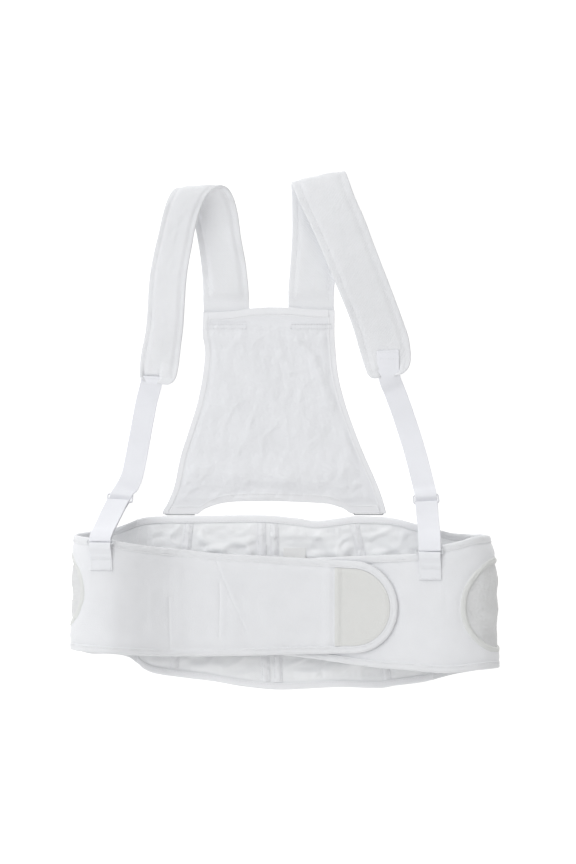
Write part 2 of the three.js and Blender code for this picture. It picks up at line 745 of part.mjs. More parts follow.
// Rows of a strap: both edges, as shares of the strap's width across, of its reach up from the
// foot, and of the roll's height; pad is a share of its thickness.
const strapColumns = ["ax", "ay", "az", "bx", "by", "bz", "pad"];
const leftStrapShares = rowsOf(strapColumns, [
  [-0.49, -0.14, 0.0, 0.5, -0.14, 0.0, 0],
  [-0.49, 0.0, 0.0, 0.51, 0.0, 0.0, 0],
  [-0.5, 0.085, 0.0, 0.51, 0.085, 0.0, 0.05],
  [-0.5, 0.18, 0.03, 0.5, 0.17, 0.03, 1],
  [-0.54, 0.38, 0.07, 0.44, 0.38, 0.07, 1],
  [-0.62, 0.58, 0.15, 0.34, 0.58, 0.18, 1],
  [-0.73, 0.76, 0.28, 0.27, 0.77, 0.32, 1],
  [-0.88, 0.89, 0.48, 0.18, 0.885, 0.54, 1],
  [-1.02, 0.945, 0.72, 0.05, 0.95, 0.8, 1],
  [-1.14, 0.915, 0.9, -0.12, 0.955, 0.97, 1],
  [-1.26, 0.825, 0.95, -0.34, 0.9, 1.0, 1],
  [-1.35, 0.72, 0.88, -0.5, 0.8, 0.95, 1],
  [-1.44, 0.59, 0.74, -0.61, 0.67, 0.86, 1],
  [-1.55, 0.44, 0.57, -0.71, 0.5, 0.72, 1],
  [-1.65, 0.26, 0.38, -0.82, 0.3, 0.55, 1],
  [-1.7, 0.06, 0.2, -0.88, 0.08, 0.38, 1],
  [-1.75, -0.14, 0.08, -0.92, -0.12, 0.2, 1],
  [-1.84, -0.3, 0.03, -0.98, -0.28, 0.07, 1],
  [-1.89, -0.45, 0.02, -1.05, -0.47, 0.02, 1],
  [-1.87, -0.54, 0.02, -1.14, -0.59, 0.02, 0.9],
]);
const rightStrapShares = rowsOf(strapColumns, [
  [-0.5, -0.12, 0.0, 0.48, -0.12, 0.0, 0],
  [-0.5, 0.0, 0.0, 0.5, 0.0, 0.0, 0],
  [-0.5, 0.085, 0.0, 0.5, 0.085, 0.0, 0.05],
  [-0.5, 0.18, 0.0, 0.51, 0.18, 0.0, 1],
  [-0.46, 0.38, 0.0, 0.54, 0.4, 0.0, 1],
  [-0.42, 0.6, 0.03, 0.58, 0.62, 0.03, 1],
  [-0.42, 0.8, 0.05, 0.63, 0.85, 0.06, 1],
  [-0.43, 0.93, 0.11, 0.68, 1.0, 0.14, 1],
  [-0.44, 1.0, 0.23, 0.71, 1.085, 0.26, 1],
  [-0.42, 1.0, 0.37, 0.75, 1.09, 0.4, 1],
  [-0.35, 0.93, 0.45, 0.83, 1.01, 0.48, 1],
  [-0.24, 0.84, 0.47, 0.95, 0.89, 0.48, 1],
  [-0.04, 0.69, 0.46, 1.16, 0.72, 0.45, 1],
  [0.2, 0.5, 0.43, 1.36, 0.53, 0.38, 1],
  [0.44, 0.29, 0.37, 1.58, 0.33, 0.29, 1],
  [0.68, 0.09, 0.26, 1.8, 0.13, 0.18, 1],
  [0.87, -0.08, 0.13, 1.98, -0.04, 0.08, 1],
  [1.0, -0.23, 0.05, 2.14, -0.21, 0.03, 1],
  [1.13, -0.39, 0.02, 2.18, -0.385, 0.02, 1],
  [1.27, -0.535, 0.02, 2.07, -0.495, 0.02, 0.9],
]);
const straps = {
  left: { rows: leftStrapShares, footX: -0.433, elasticShare: 0.965, acrossShare: 0.33 },
  right: { rows: rightStrapShares, footX: 0.329, elasticShare: 0.93, acrossShare: 0.55 },
};

const strapRowSteps = 38;
const strapColumnSteps = 4;
const strapEdgeShare = 0.55;

function strapGrid(strap) {
  const footX = upperCentreX + strap.footX * upperHalfWidth;
  const point = (x, y, z, pad) => new Vector3(
    footX + x * strapWidth,
    upperTopY + y * strapReach,
    mix(strapSewnThickness, strapThickness, pad) / 2 + z * rollHeight,
  );
  const edgeA = new THREE.CatmullRomCurve3(strap.rows.map((r) => point(r.ax, r.ay, r.az, r.pad)));
  const edgeB = new THREE.CatmullRomCurve3(strap.rows.map((r) => point(r.bx, r.by, r.bz, r.pad)));
  const pads = follow(strap.rows.map((r, k) => ({ k: k / (strap.rows.length - 1), pad: r.pad })), "k", "pad");
  const pad = (i) => clamp01(pads(i / strapRowSteps));
  const grid = steps(strapRowSteps).map((t, i) => {
    const lowest = mix(strapSewnThickness, strapThickness, pad(i)) / 2;
    const [a, b] = [edgeA.getPoint(t), edgeB.getPoint(t)];
    a.z = Math.max(a.z, lowest);
    b.z = Math.max(b.z, lowest);
    return steps(strapColumnSteps).map((share) => a.clone().lerp(b, share));
  });
  return { grid, pad };
}

function shoulderStrap(strap) {
  const { grid, pad } = strapGrid(strap);
  return sheet(grid, (i, j) => {
    const fromMiddle = Math.abs((2 * j) / strapColumnSteps - 1);
    const full = strapThickness * mix(1, strapEdgeShare, fromMiddle ** 3);
    return mix(strapSewnThickness, full, pad(i));
  });
}

// Front hooks and tabs, on the outer face of a band at its top edge.
const wireRadius = wireDiameter / 2;
const wrapRadius = wireRadius + gap + elasticThickness / 2;
const tabSeat = bandThickness / 2 + bindingRaise + gap + tabThickness / 2;
const tabWrap = wireRadius + gap + tabThickness / 2;
const hookOut = tabSeat + tabWrap;
const hookSpan = 2 * wireRadius + elasticThickness + tabThickness + 3 * gap;

const ridgeShare = 0.2;
function frontFixing(path, xShare) {
  const s = path.whereX(xShare * beltHalfWidth, path.length * ridgeShare);
  const here = path.at(s);
  const across = here.tangent.clone().multiplyScalar(Math.sign(here.tangent.x));
  const out = here.normal.clone();
  const up = new Vector3(0, 1, 0);
  const top = here.top - hookDrop;
  const lowerBar = path.place(s, top + tabWrap + gap, hookOut);
  const upperBar = lowerBar.clone().addScaledVector(up, hookSpan);
  return { path, s, across, out, up, top, lowerBar, upperBar };
}

// The left fixing is on the outer slope of the ridge, the right one on the inner slope.
const fixings = {
  left: frontFixing(leftBand, -0.85),
  right: frontFixing(rightBand, 0.676),
};

function frontHook({ across, up, lowerBar, upperBar }) {
  const centre = lowerBar.clone().lerp(upperBar, 0.5);
  const width = Math.max(tabWidth, elasticWidth) + 2 * sideClearance + hookSpan;
  return wireLoop(centre, across, up, width, hookSpan / 2);
}

// Rows of a tab's face and of its return behind it, as shares of the return's length.
const tabFaceShares = [2.33, 1.78, 1.5, 1.22, 1, 0.83, 0.67, 0.44, 0.22, 0];
const tabReturnShares = [0, 0.22, 0.44, 0.67];
const tabTurnSteps = 6;
const tabFlatWithin = 3;
const tabFlatShare = 0.8;

// The tab: up the face of the band, over the hook's lower bar and back down behind itself.
function frontTab({ path, s, out, up, across, top, lowerBar }) {
  const facing = Math.sign(path.at(s).tangent.x);
  const surface = (share, y, n) => {
    const curved = path.place(s + facing * share * tabWidth, y, n);
    const flat = path.place(s, y, n).addScaledVector(across, share * tabWidth);
    const nearHook = top - y < tabFlatWithin ? 1 : tabFlatShare;
    return curved.lerp(flat, ease(1 - (top - y) / tabLength) * nearHook);
  };
  const outer = (below) => {
    const apart = tabThickness + gap;
    const sewn = below > tabReturn + gap ? 0 : apart;
    const lift = mix(2 * tabWrap, sewn, ease(below / tabReturn));
    return tabSeat + (below > tabReturn ? mix(apart, 0, ease((below - tabReturn) / tabSettle)) : lift);
  };
  const shares = [-0.5, 0, 0.5];
  const rows = [];
  for (const below of [tabLength, ...tabFaceShares.map((share) => share * tabReturn)]) {
    rows.push(shares.map((share) => surface(share, top - below, outer(below))));
  }
  for (const share of steps(tabTurnSteps)) {
    const angle = Math.PI / 2 - share * Math.PI;
    rows.push(shares.map((side) => lowerBar.clone().addScaledVector(across, side * tabWidth)
      .addScaledVector(out, tabWrap * Math.sin(angle)).addScaledVector(up, tabWrap * Math.cos(angle))));
  }
  for (const part of tabReturnShares) {
    rows.push(shares.map((share) => surface(share, top - part * tabReturn, tabSeat)));
  }
  return sheet(rows, tabThickness);
}

// Elastics

// The route from the strap to the hook: along it, bow sideways as a share of its length, and
// rise as a share of the hook's height.
const routeColumns = ["along", "bow", "rise"];
const routes = {
  left: rowsOf(routeColumns, [
    [0.108, 0.003, 0.0], [0.234, 0.015, 0.0], [0.383, 0.032, 0.03], [0.495, 0.046, 0.12],
    [0.6, 0.056, 0.26], [0.66, 0.048, 0.36], [0.716, 0.034, 0.45], [0.775, 0.021, 0.56],
    [0.85, 0.011, 0.71], [0.925, 0.003, 0.88], [0.968, 0.0, 0.98],
  ]),
  right: rowsOf(routeColumns, [
    [0.085, 0.013, 0.0], [0.175, 0.026, 0.0], [0.317, 0.041, 0.03], [0.458, 0.051, 0.14],
    [0.595, 0.053, 0.33], [0.686, 0.052, 0.47], [0.746, 0.045, 0.57], [0.815, 0.033, 0.7],
    [0.89, 0.021, 0.86], [0.95, 0.01, 0.98],
  ]),
};
const sliderAlong = { left: 0.716, right: 0.746 };
const sliderSquare = { left: 0.7, right: 0.4 };
const squareReach = 24;
const routeSteps = 18;
const turnSteps = 8;

// Where the elastic is sewn to the strap's face: its first points lie on the strap.
function elasticStart(strap) {
  const { grid } = strapGrid(strap);
  const row = grid[Math.round(strap.elasticShare * strapRowSteps)];
  const end = grid.at(-1);
  const lift = new Vector3(0, 0, strapThickness / 2 + gap + elasticThickness / 2);
  const middle = (points) => points[0].clone().lerp(points.at(-1), strap.acrossShare);
  return { sewn: middle(row).add(lift), edge: middle(end).add(lift) };
}

function elasticRoute(side) {
  const { sewn, edge } = elasticStart(straps[side]);
  const hook = fixings[side];
  const floor = elasticThickness / 2;
  const run = new Vector3().subVectors(hook.upperBar, edge);
  const flatRun = new Vector3(run.x, run.y, 0);
  const length = flatRun.length();
  const sideways = new Vector3(-flatRun.y, flatRun.x, 0).normalize();
  const points = routes[side].map(({ along, bow, rise }) => new Vector3(edge.x, edge.y, 0)
    .addScaledVector(flatRun, along)
    .addScaledVector(sideways, bow * length)
    .setZ(mix(floor, hook.upperBar.z, rise)));
  const beyond = new Vector3().subVectors(edge, sewn).setLength(elasticThickness);
  return new THREE.CatmullRomCurve3([sewn, edge.clone().add(beyond), ...points, hook.upperBar]);
}

// The elastic passes over the slider's upper bar, through its window and under its lower bar,
// round the hook's bar and back over the lower bar, where its end is sewn.
function elasticLine(side) {
  const curve = elasticRoute(side);
  const hook = fixings[side];
  const length = curve.getLength();
  const slider = length * sliderAlong[side];
  const clearBar = sliderThickness / 2 + gap + elasticThickness / 2 + bendClearance;
  const frame = (distance) => {
    const u = clamp01(distance / length);
    const point = curve.getPointAt(u);
    point.z = Math.max(point.z, elasticThickness / 2);
    const tangent = curve.getTangentAt(u);
    const square = sliderSquare[side] * ease((distance - slider) / squareReach + 1);
    const level = new Vector3(-tangent.y, tangent.x, 0).normalize().lerp(new Vector3(1, 0, 0), square);
    const toBar = ease((distance - slider) / (length - slider));
    const across = level.lerp(hook.across, toBar).normalize();
    const up = new Vector3().crossVectors(tangent, across).normalize();
    return { point, across, up, tangent };
  };
  const at = (distance, offset) => {
    const { point, across, up } = frame(distance);
    return { point: point.addScaledVector(up, offset), across };
  };
  const line = [];
  const before = slider - sliderWindow / 2 - sliderBar;
  const firstStretch = before - sliderApproach;
  for (const share of steps(routeSteps)) line.push(at(share * firstStretch, 0));
  const half = sliderWindow / 2;
  line.push(at(before - barOverrun, clearBar), at(slider - half, clearBar));
  line.push(at(slider, 0));
  const lastStart = slider + half + sliderBar + barOverrun;
  line.push(at(slider + half, -clearBar), at(lastStart, -clearBar));
  const lastEnd = length - hookApproach;
  const closed = elasticThickness / 2 + gap;
  const spread = rowsOf(["share", "out"], [[0, clearBar], [0.3, closed], [0.7, closed], [1, wrapRadius]]);
  const apart = follow(spread, "share", "out");
  const inner = steps(turnSteps).slice(1);
  for (const share of inner) line.push(at(mix(lastStart, lastEnd, share), -apart(share)));
  const end = frame(length);
  const forward = new Vector3().crossVectors(hook.across, end.up).normalize();
  for (const share of steps(turnSteps)) {
    const angle = -Math.PI / 2 + share * Math.PI;
    line.push({
      point: hook.upperBar.clone().addScaledVector(forward, wrapRadius * Math.cos(angle))
        .addScaledVector(end.up, wrapRadius * Math.sin(angle)),
      across: hook.across,
    });
  }
  for (const share of [...inner].reverse()) line.push(at(mix(lastStart, lastEnd, share), apart(share)));
  line.push(at(slider + half + gap, clearBar + bendClearance));
  return { line, frame, slider };
}

function elastic(side) {
  return ribbon(elasticLine(side).line, elasticWidth, elasticThickness);
}

function slider(side) {
  const { frame, slider: where } = elasticLine(side);
  const { point, across, up } = frame(where);
  const forward = new Vector3().crossVectors(up, across).normalize();
  const halfWidth = elasticWidth / 2 + sideClearance;
  const rectangle = (path, x, y) => {
    path.moveTo(-x, -y);
    path.lineTo(x, -y);
    path.lineTo(x, y);
    path.lineTo(-x, y);
    path.closePath();
    return path;
  };
  const shape = rectangle(new THREE.Shape(), halfWidth + sliderBar, sliderWindow / 2 + sliderBar);
  shape.holes.push(rectangle(new THREE.Path(), halfWidth, sliderWindow / 2));
  const geometry = new THREE.ExtrudeGeometry(shape, { depth: sliderThickness, bevelEnabled: false });
  geometry.deleteAttribute("normal");
  geometry.deleteAttribute("uv");
  geometry.translate(0, 0, -sliderThickness / 2);
  const place = new THREE.Matrix4().makeBasis(across, forward, up).setPosition(point);
  return mergeVertices(geometry.applyMatrix4(place), 1e-4);
}

// Hooks between the upper panel's corners and the lumbar panel
function backHook(x) {
  const y = upperBottomY - gap - backHookHeight / 2;
  const centre = new Vector3(x, y, wireRadius);
  return wireLoop(centre, new Vector3(1, 0, 0), new Vector3(0, 1, 0), backHookWidth, backHookCorner);
}

// Assembly
const belt = new THREE.Group();

function add(name, geometry, finish) {
  geometry.computeVertexNormals();
  const mesh = new THREE.Mesh(geometry, new THREE.MeshStandardMaterial(finish));
  mesh.name = name;
  belt.add(mesh);
}

const bandHalf = bandThickness / 2;
const bandColumnSteps = 3;
const patchColumnSteps = 4;
const leftBody = bandLayer(leftBand, leftBandRows(bandInset), bandColumnSteps, -bandHalf, bandHalf);
const rightBody = bandLayer(rightBand, rightBandRows(bandInset), bandColumnSteps, -bandHalf, bandHalf);
add("front_band_left", bandWithWindow(windows.left, leftBody), cottonWhite);
add("front_band_right", bandWithWindow(windows.right, rightBody), cottonWhite);

for (const { side, rowsAt, path, endSteps } of [
  { side: "left", rowsAt: leftBandRows, path: leftBand, endSteps: 1 },
  { side: "right", rowsAt: rightBandRows, path: rightBand, endSteps: 5 },
]) {
  const outer = bindingOutline(rowsAt(0), endSteps);
  const inner = bindingOutline(rowsAt(bindingWidth), endSteps);
  add(`front_binding_${side}`, bandBinding(path, outer, inner), tapeWhite);
  add(`window_rim_${side}`, ovalRim(windows[side]), tapeWhite);
  add(`side_window_${side}`, windowFabric(windows[side]), netWhite);
}

const patchRows = leftBandRows(bandInset + gap, roundFrom - patchOverhang);
const patchSeat = bandHalf + gap;
const patch = bandLayer(leftBand, patchRows, patchColumnSteps, patchSeat, patchSeat + patchThickness);
add("closure_patch", patch, cottonWhite);

const panelLow = (x) => lumbarBottom(x) + bandInset;
const panelHigh = (x) => lumbarTop(x) - bandInset;
const lumbarStrip = (low, high, rows, raise) => (
  lumbarLayer(-lumbarSeam, lumbarSeam, low, high, lumbarColumns, rows, -lumbarHalf, lumbarHalf + raise));
add("back_panel", lumbarStrip(panelLow, panelHigh, lumbarRows, 0), cottonWhite);
const topBinding = lumbarStrip((x) => lumbarTop(x) - bindingWidth, lumbarTop, 1, bindingRaise);
const bottomBinding = lumbarStrip(lumbarBottom, (x) => lumbarBottom(x) + bindingWidth, 1, bindingRaise);
add("back_binding_top", topBinding, tapeWhite);
add("back_binding_bottom", bottomBinding, tapeWhite);
channelShares.forEach((shares, k) => add(`stay_channel_${k + 1}`, stayChannel(shares), tapeWhite));
add("care_label", careLabel(), tapeWhite);

add("upper_back_panel", upperLayer(bodyAcross, bodyFrom, 1 - bodyFrom, upperRows), netWhite);
add("upper_binding_left", upperLayer(leftAcross, bodyFrom, 1 - bodyFrom, upperRows), tapeWhite);
add("upper_binding_right", upperLayer(rightAcross, bodyFrom, 1 - bodyFrom, upperRows), tapeWhite);
add("upper_hem_top", upperLayer(hemAcross, 0, hemShare, 1), tapeWhite);
add("upper_hem_bottom", upperLayer(hemAcross, 1 - hemShare, 1, 1), tapeWhite);

for (const side of ["left", "right"]) {
  add(`shoulder_strap_${side}`, shoulderStrap(straps[side]), cottonWhite);
  add(`elastic_${side}`, elastic(side), tapeWhite);
  add(`slider_${side}`, slider(side), plasticWhite);
  add(`hook_${side}`, frontHook(fixings[side]), coatedWire);
  add(`tab_${side}`, frontTab(fixings[side]), tapeWhite);
}
add("back_hook_left", backHook(cornerLeftX), coatedWire);
add("back_hook_right", backHook(cornerRightX), coatedWire);

// The origin is under the middle of the whole belt.
const box = new THREE.Box3().setFromObject(belt);
const middle = box.getCenter(new Vector3());
belt.position.set(-middle.x, -middle.y, -box.min.z);

export default belt;
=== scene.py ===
"""Looks of the maternity support belt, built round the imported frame.

Tables and sizes are in millimetres, in the belt's own axes, where Y is 0 at the middle height of
the belt. The scene is in metres, in the row frame.
"""

import math

import bpy
import numpy as np
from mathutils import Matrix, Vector


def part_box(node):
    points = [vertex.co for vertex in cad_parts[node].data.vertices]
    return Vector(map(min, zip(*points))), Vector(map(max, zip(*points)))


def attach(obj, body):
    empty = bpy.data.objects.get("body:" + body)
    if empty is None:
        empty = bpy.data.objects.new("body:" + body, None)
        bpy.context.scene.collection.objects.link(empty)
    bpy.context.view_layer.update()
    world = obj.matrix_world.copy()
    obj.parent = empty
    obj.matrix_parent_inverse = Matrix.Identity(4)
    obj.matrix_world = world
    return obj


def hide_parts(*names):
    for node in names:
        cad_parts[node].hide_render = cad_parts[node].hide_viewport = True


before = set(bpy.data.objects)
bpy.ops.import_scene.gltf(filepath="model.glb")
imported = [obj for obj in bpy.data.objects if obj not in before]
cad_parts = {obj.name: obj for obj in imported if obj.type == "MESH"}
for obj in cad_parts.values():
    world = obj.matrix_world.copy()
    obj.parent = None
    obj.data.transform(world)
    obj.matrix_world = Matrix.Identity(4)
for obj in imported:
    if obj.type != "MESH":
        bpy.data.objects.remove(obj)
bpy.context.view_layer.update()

# Sizes, as in the CAD
GAP = 0.3
HALF_WIDTH = 216.0
RIDGE = 57.5
BAND_HALF = 52.0
BAND = 3.2
OVERLAP_GAP = 0.6
BINDING = 7.5
RAISE = 0.4
LUMBAR_HALF = 90.0
LUMBAR = 3.0
SEAM = 0.695 * HALF_WIDTH
CHANNEL = 9.0
LABEL = (23.0, 34.0)
WINDOW = (46.0, 45.0)
RIM = 5.0
UPPER_HEIGHT = 205.0
UPPER_HALF = 115.0
UPPER_X = -11.0
UPPER = 1.6
UPPER_EDGE = 7.0
UPPER_HEM = 9.0
CORNER = 36.0
ARCH = 10.5
CROWN = 5.0
FOLD = 4.0
SEWN = 19.0
STRAP_WIDTH = 47.0
STRAP = 5.0
STRAP_SEWN = 2.0
REACH = 130.0
ROLL = 41.0
ELASTIC_WIDTH = 22.5
ELASTIC = 1.2
BAR = 2.4
SLIDER_WINDOW = 6.4
SLIDER = 2.0
WIRE = 0.9
HOOK_WIDTH = 30.0
HOOK_CORNER = 1.1
TAB_WIDTH = 22.0
TAB_LENGTH = 24.0
TAB_RETURN = 9.0
TAB = 1.2
HOOK_DROP = 7.0
PATCH_OVERHANG = 18.0

MM = 0.001
STEP = 1.7


# Small helpers


def mix(a, b, t):
    return a + (b - a) * t


def ease(t):
    t = np.clip(t, 0, 1)
    return t * t * (3 - 2 * t)


def bell(distance, width):
    return np.exp(-((distance / width) ** 2))


def follow(table, column=1):
    """A smooth function through a table's first column and another, flat beyond its ends."""
    table = np.array(table, float)
    xs, ys = table[:, 0], table[:, column]
    rise = np.diff(ys) / np.diff(xs)
    product = rise[:-1] * rise[1:]
    turn = np.where(product > 0, 2 * product / np.where(product > 0, rise[:-1] + rise[1:], 1), 0)
    slope = np.concatenate([rise[:1], turn, rise[-1:]])

    def value(x):
        x = np.clip(np.asarray(x, float), xs[0], xs[-1])
        k = np.clip(np.searchsorted(xs, x, side="right") - 1, 0, len(xs) - 2)
        span = xs[k + 1] - xs[k]
        t = (x - xs[k]) / span
        return (
            (2 * t**3 - 3 * t**2 + 1) * ys[k]
            + (t**3 - 2 * t**2 + t) * span * slope[k]
            + (3 * t**2 - 2 * t**3) * ys[k + 1]
            + (t**3 - t**2) * span * slope[k + 1]
        )

    return value


def through(points):
    """A smooth curve through points: a function of t from 0 to 1."""
    p = np.array(points, float)
    p = np.vstack([2 * p[0] - p[1], p, 2 * p[-1] - p[-2]])
    step = np.maximum(np.sum(np.diff(p, axis=0) ** 2, axis=1) ** 0.25, 1e-4)

    def place(t):
        t = np.clip(np.asarray(t, float), 0, 1) * (len(p) - 3)
        k = np.minimum(t.astype(int), len(p) - 4)
        w = (t - k)[..., None]
        a, b, c, d = p[k], p[k + 1], p[k + 2], p[k + 3]
        d0, d1, d2 = (step[k + i][..., None] for i in range(3))
        m1 = ((b - a) / d0 - (c - a) / (d0 + d1) + (c - b) / d1) * d1
        m2 = ((c - b) / d1 - (d - b) / (d1 + d2) + (d - c) / d2) * d1
        return (
            (2 * w**3 - 3 * w**2 + 1) * b
            + (w**3 - 2 * w**2 + w) * m1
            + (3 * w**2 - 2 * w**3) * c
            + (w**3 - w**2) * m2
        )

    return place


def spaced(low, high, step, rounding=1.2):
    """Places from low to high about a step apart, closer together near both ends."""
    near = rounding * np.array([0, 0.06, 0.22, 0.55])
    count = max(2, int(round((high - low - 2 * rounding) / step)) + 1)
    inner = np.linspace(low + rounding, high - rounding, count)
    return np.concatenate([low + near, inner, (high - near)[::-1]])


def stations(low, high, step, fine=()):
    """Places as spaced gives them, half a step apart within the fine stretches."""
    places = list(low + np.array([0, 0.07, 0.25, 0.6, 1.0]))
    while places[-1] < high - 1.0 - step:
        here = places[-1]
        places.append(here + (step / 2 if any(a < here < b for a, b in fine) else step))
    return np.array(places + list(high - np.array([1.0, 0.6, 0.25, 0.07, 0])))


def run_along(points):
    """Distances along a line of points, from its first one."""
    return np.concatenate([[0], np.cumsum(np.linalg.norm(np.diff(points, axis=0), axis=1))])


def across_grid(line, low, high, shares):
    """A grid of places along a line and, at shares across, from its low edge to its high one."""
    across = mix(low[:, None], high[:, None], shares[None])
    return np.broadcast_to(line[:, None], across.shape), across


def cut_area(line, low, high):
    return np.sum((high - low)[1:] * np.diff(line))


def facing_up(points):
    """A line of stitches on a level face, as seam takes it."""
    return points, np.tile([0.0, 0.0, 1.0], (len(points), 1))


def rounded(distance, radius):
    """Share of the full thickness at a distance in from a rounded edge."""
    return np.sqrt(np.clip(1 - (1 - np.clip(distance / radius, 0, 1)) ** 2, 0, 1))


def ripple(x, y, length, seed, stretch=1.0, turn=0.0, count=14):
    """Smooth seeded unevenness of about one unit, with waves of about a length."""
    chance = np.random.default_rng(seed)
    xr = (x * math.cos(turn) + y * math.sin(turn)) / stretch
    yr = -x * math.sin(turn) + y * math.cos(turn)
    total = 0
    for _ in range(count):
        angle = chance.uniform(0, 2 * math.pi)
        size = 2 * math.pi / length * chance.uniform(0.6, 1.5)
        phase = chance.uniform(0, 2 * math.pi)
        total = total + np.sin(size * (math.cos(angle) * xr + math.sin(angle) * yr) + phase)
    return total / math.sqrt(count / 2)


def crease(value, sharpness=3.0):
    """Turns smooth unevenness into narrow ridges with rounded hollows."""
    return 1 - np.tanh(np.abs(value) * sharpness)


def fold_height(folds, x, y):
    height = 0
    for x0, y0, x1, y1, width, rise in folds:
        run = np.array([x1 - x0, y1 - y0])
        share = np.clip(((x - x0) * run[0] + (y - y0) * run[1]) / (run @ run), 0, 1)
        distance = np.hypot(x - x0 - share * run[0], y - y0 - share * run[1])
        height = height + rise * bell(distance, width)
    return height


# Where the belt's own axes lie in the row frame, from the care label's place
LABEL_X = 0.045 * HALF_WIDTH
LABEL_TOP = 0.65 * LUMBAR_HALF
label_low, label_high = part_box("care_label")
SHIFT = np.array([
    (label_low.x + label_high.x) / 2 - LABEL_X * MM,
    label_high.y - LABEL_TOP * MM,
    0.0,
])


# Materials


def cloth(name, tint, relief, fine, depth, rough=0.9, sheen=0.25, mottle=0.03):
    """A white cloth. relief is knit, weave, ribs or loops, fine its spacing in millimetres."""
    material = bpy.data.materials.new(name)
    material.use_nodes = True
    nodes, links = material.node_tree.nodes, material.node_tree.links
    shader = nodes["Principled BSDF"]
    shader.inputs["Roughness"].default_value = rough
    shader.inputs["Sheen Weight"].default_value = sheen
    shader.inputs["Sheen Roughness"].default_value = 0.5
    shader.inputs["Specular IOR Level"].default_value = 0.25
    place = nodes.new("ShaderNodeAttribute")
    place.attribute_name = "cloth"
    spread = nodes.new("ShaderNodeTexNoise")
    spread.inputs["Scale"].default_value = 0.035
    spread.inputs["Detail"].default_value = 3
    links.new(place.outputs["Vector"], spread.inputs["Vector"])
    tones = nodes.new("ShaderNodeValToRGB")
    tones.color_ramp.elements[0].position = 0.3
    tones.color_ramp.elements[1].position = 0.7
    tones.color_ramp.elements[0].color = [c * (1 - mottle) for c in tint] + [1]
    tones.color_ramp.elements[1].color = list(tint) + [1]
    links.new(spread.outputs["Fac"], tones.inputs["Fac"])
    links.new(tones.outputs["Color"], shader.inputs["Base Color"])

    def waves(direction, distortion=0.0):
        wave = nodes.new("ShaderNodeTexWave")
        wave.bands_direction = direction
        wave.inputs["Scale"].default_value = 1 / (fine * 3.2)
        wave.inputs["Distortion"].default_value = distortion
        wave.inputs["Detail"].default_value = 1
        wave.inputs["Detail Scale"].default_value = 1.5
        links.new(place.outputs["Vector"], wave.inputs["Vector"])
        return wave.outputs["Fac"]

    def both(a, b, kind):
        pair = nodes.new("ShaderNodeMath")
        pair.operation = kind
        links.new(a, pair.inputs[0])
        links.new(b, pair.inputs[1])
        return pair.outputs[0]

    if relief == "weave":
        height = both(waves("X", 1.0), waves("Y", 1.0), "MULTIPLY")
    elif relief == "ribs":
        height = waves("X", 0.2)
    elif relief == "knit":
        height = both(waves("X", 0.6), waves("DIAGONAL", 0.8), "ADD")
    else:
        cells = nodes.new("ShaderNodeTexVoronoi")
        cells.inputs["Scale"].default_value = 1 / fine
        links.new(place.outputs["Vector"], cells.inputs["Vector"])
        height = cells.outputs["Distance"]
    bump = nodes.new("ShaderNodeBump")
    bump.inputs["Strength"].default_value = 0.5
    bump.inputs["Distance"].default_value = depth * MM
    links.new(height, bump.inputs["Height"])
    links.new(bump.outputs["Normal"], shader.inputs["Normal"])
    return material


def hard(name, tint, rough, metal=0.0, grain=0.02):
    material = bpy.data.materials.new(name)
    material.use_nodes = True
    nodes, links = material.node_tree.nodes, material.node_tree.links
    shader = nodes["Principled BSDF"]
    shader.inputs["Base Color"].default_value = (*tint, 1)
    shader.inputs["Metallic"].default_value = metal
    spots = nodes.new("ShaderNodeTexNoise")
    spots.inputs["Scale"].default_value = 600
    wear = nodes.new("ShaderNodeMapRange")
    wear.inputs["To Min"].default_value = rough
    wear.inputs["To Max"].default_value = rough + 0.15
    links.new(spots.outputs["Fac"], wear.inputs["Value"])
    links.new(wear.outputs["Result"], shader.inputs["Roughness"])
    bump = nodes.new("ShaderNodeBump")
    bump.inputs["Strength"].default_value = 0.3
    bump.inputs["Distance"].default_value = grain * MM
    links.new(spots.outputs["Fac"], bump.inputs["Height"])
    links.new(bump.outputs["Normal"], shader.inputs["Normal"])
    return material


WHITE = (0.78, 0.785, 0.808)
BRUSHED = cloth("brushed_loop_cloth", WHITE, "loops", 0.9, 0.25)
# The lining is tinted lighter than the outer cloth: partly the lining's own white, partly painted light that
# lifts the shade inside the bands and on the back panel beneath them.
LINING_AND_PAINTED_LIGHT = cloth("lining_cloth_and_painted_light", (0.9, 0.907, 0.922), "knit", 1.1, 0.2)
# TAPE, FRONT_TAPE and EDGE_TAPE are one binding tape in three tints. TAPE, on the back panel's bindings and
# stay channels, is the lightest: painted light lifting their shade. EDGE_TAPE, on the upper panel's edges,
# lies between.
TAPE = cloth("binding_tape", (0.86, 0.863, 0.885), "weave", 0.9, 0.15, sheen=0.2)
FRONT_TAPE = cloth("front_binding_tape", (0.775, 0.78, 0.80), "weave", 0.9, 0.15, sheen=0.2)
EDGE_TAPE = cloth("upper_edge_tape", (0.82, 0.823, 0.845), "weave", 0.9, 0.15, sheen=0.2)
# The window rims' tape is tinted darker than the other tapes: painted shade, standing in for the shade in
# the groove round each window.
RIM_TAPE_PAINTED_SHADE = cloth("rim_tape_painted_shade", (0.71, 0.716, 0.708), "weave", 0.9, 0.15, sheen=0.1)
TAB_TAPE = cloth("tab_webbing", (0.79, 0.797, 0.825), "ribs", 1.3, 0.12, sheen=0.15)
NET = cloth("thin_cloth", (0.79, 0.795, 0.82), "weave", 0.8, 0.15, sheen=0.15, mottle=0.02)
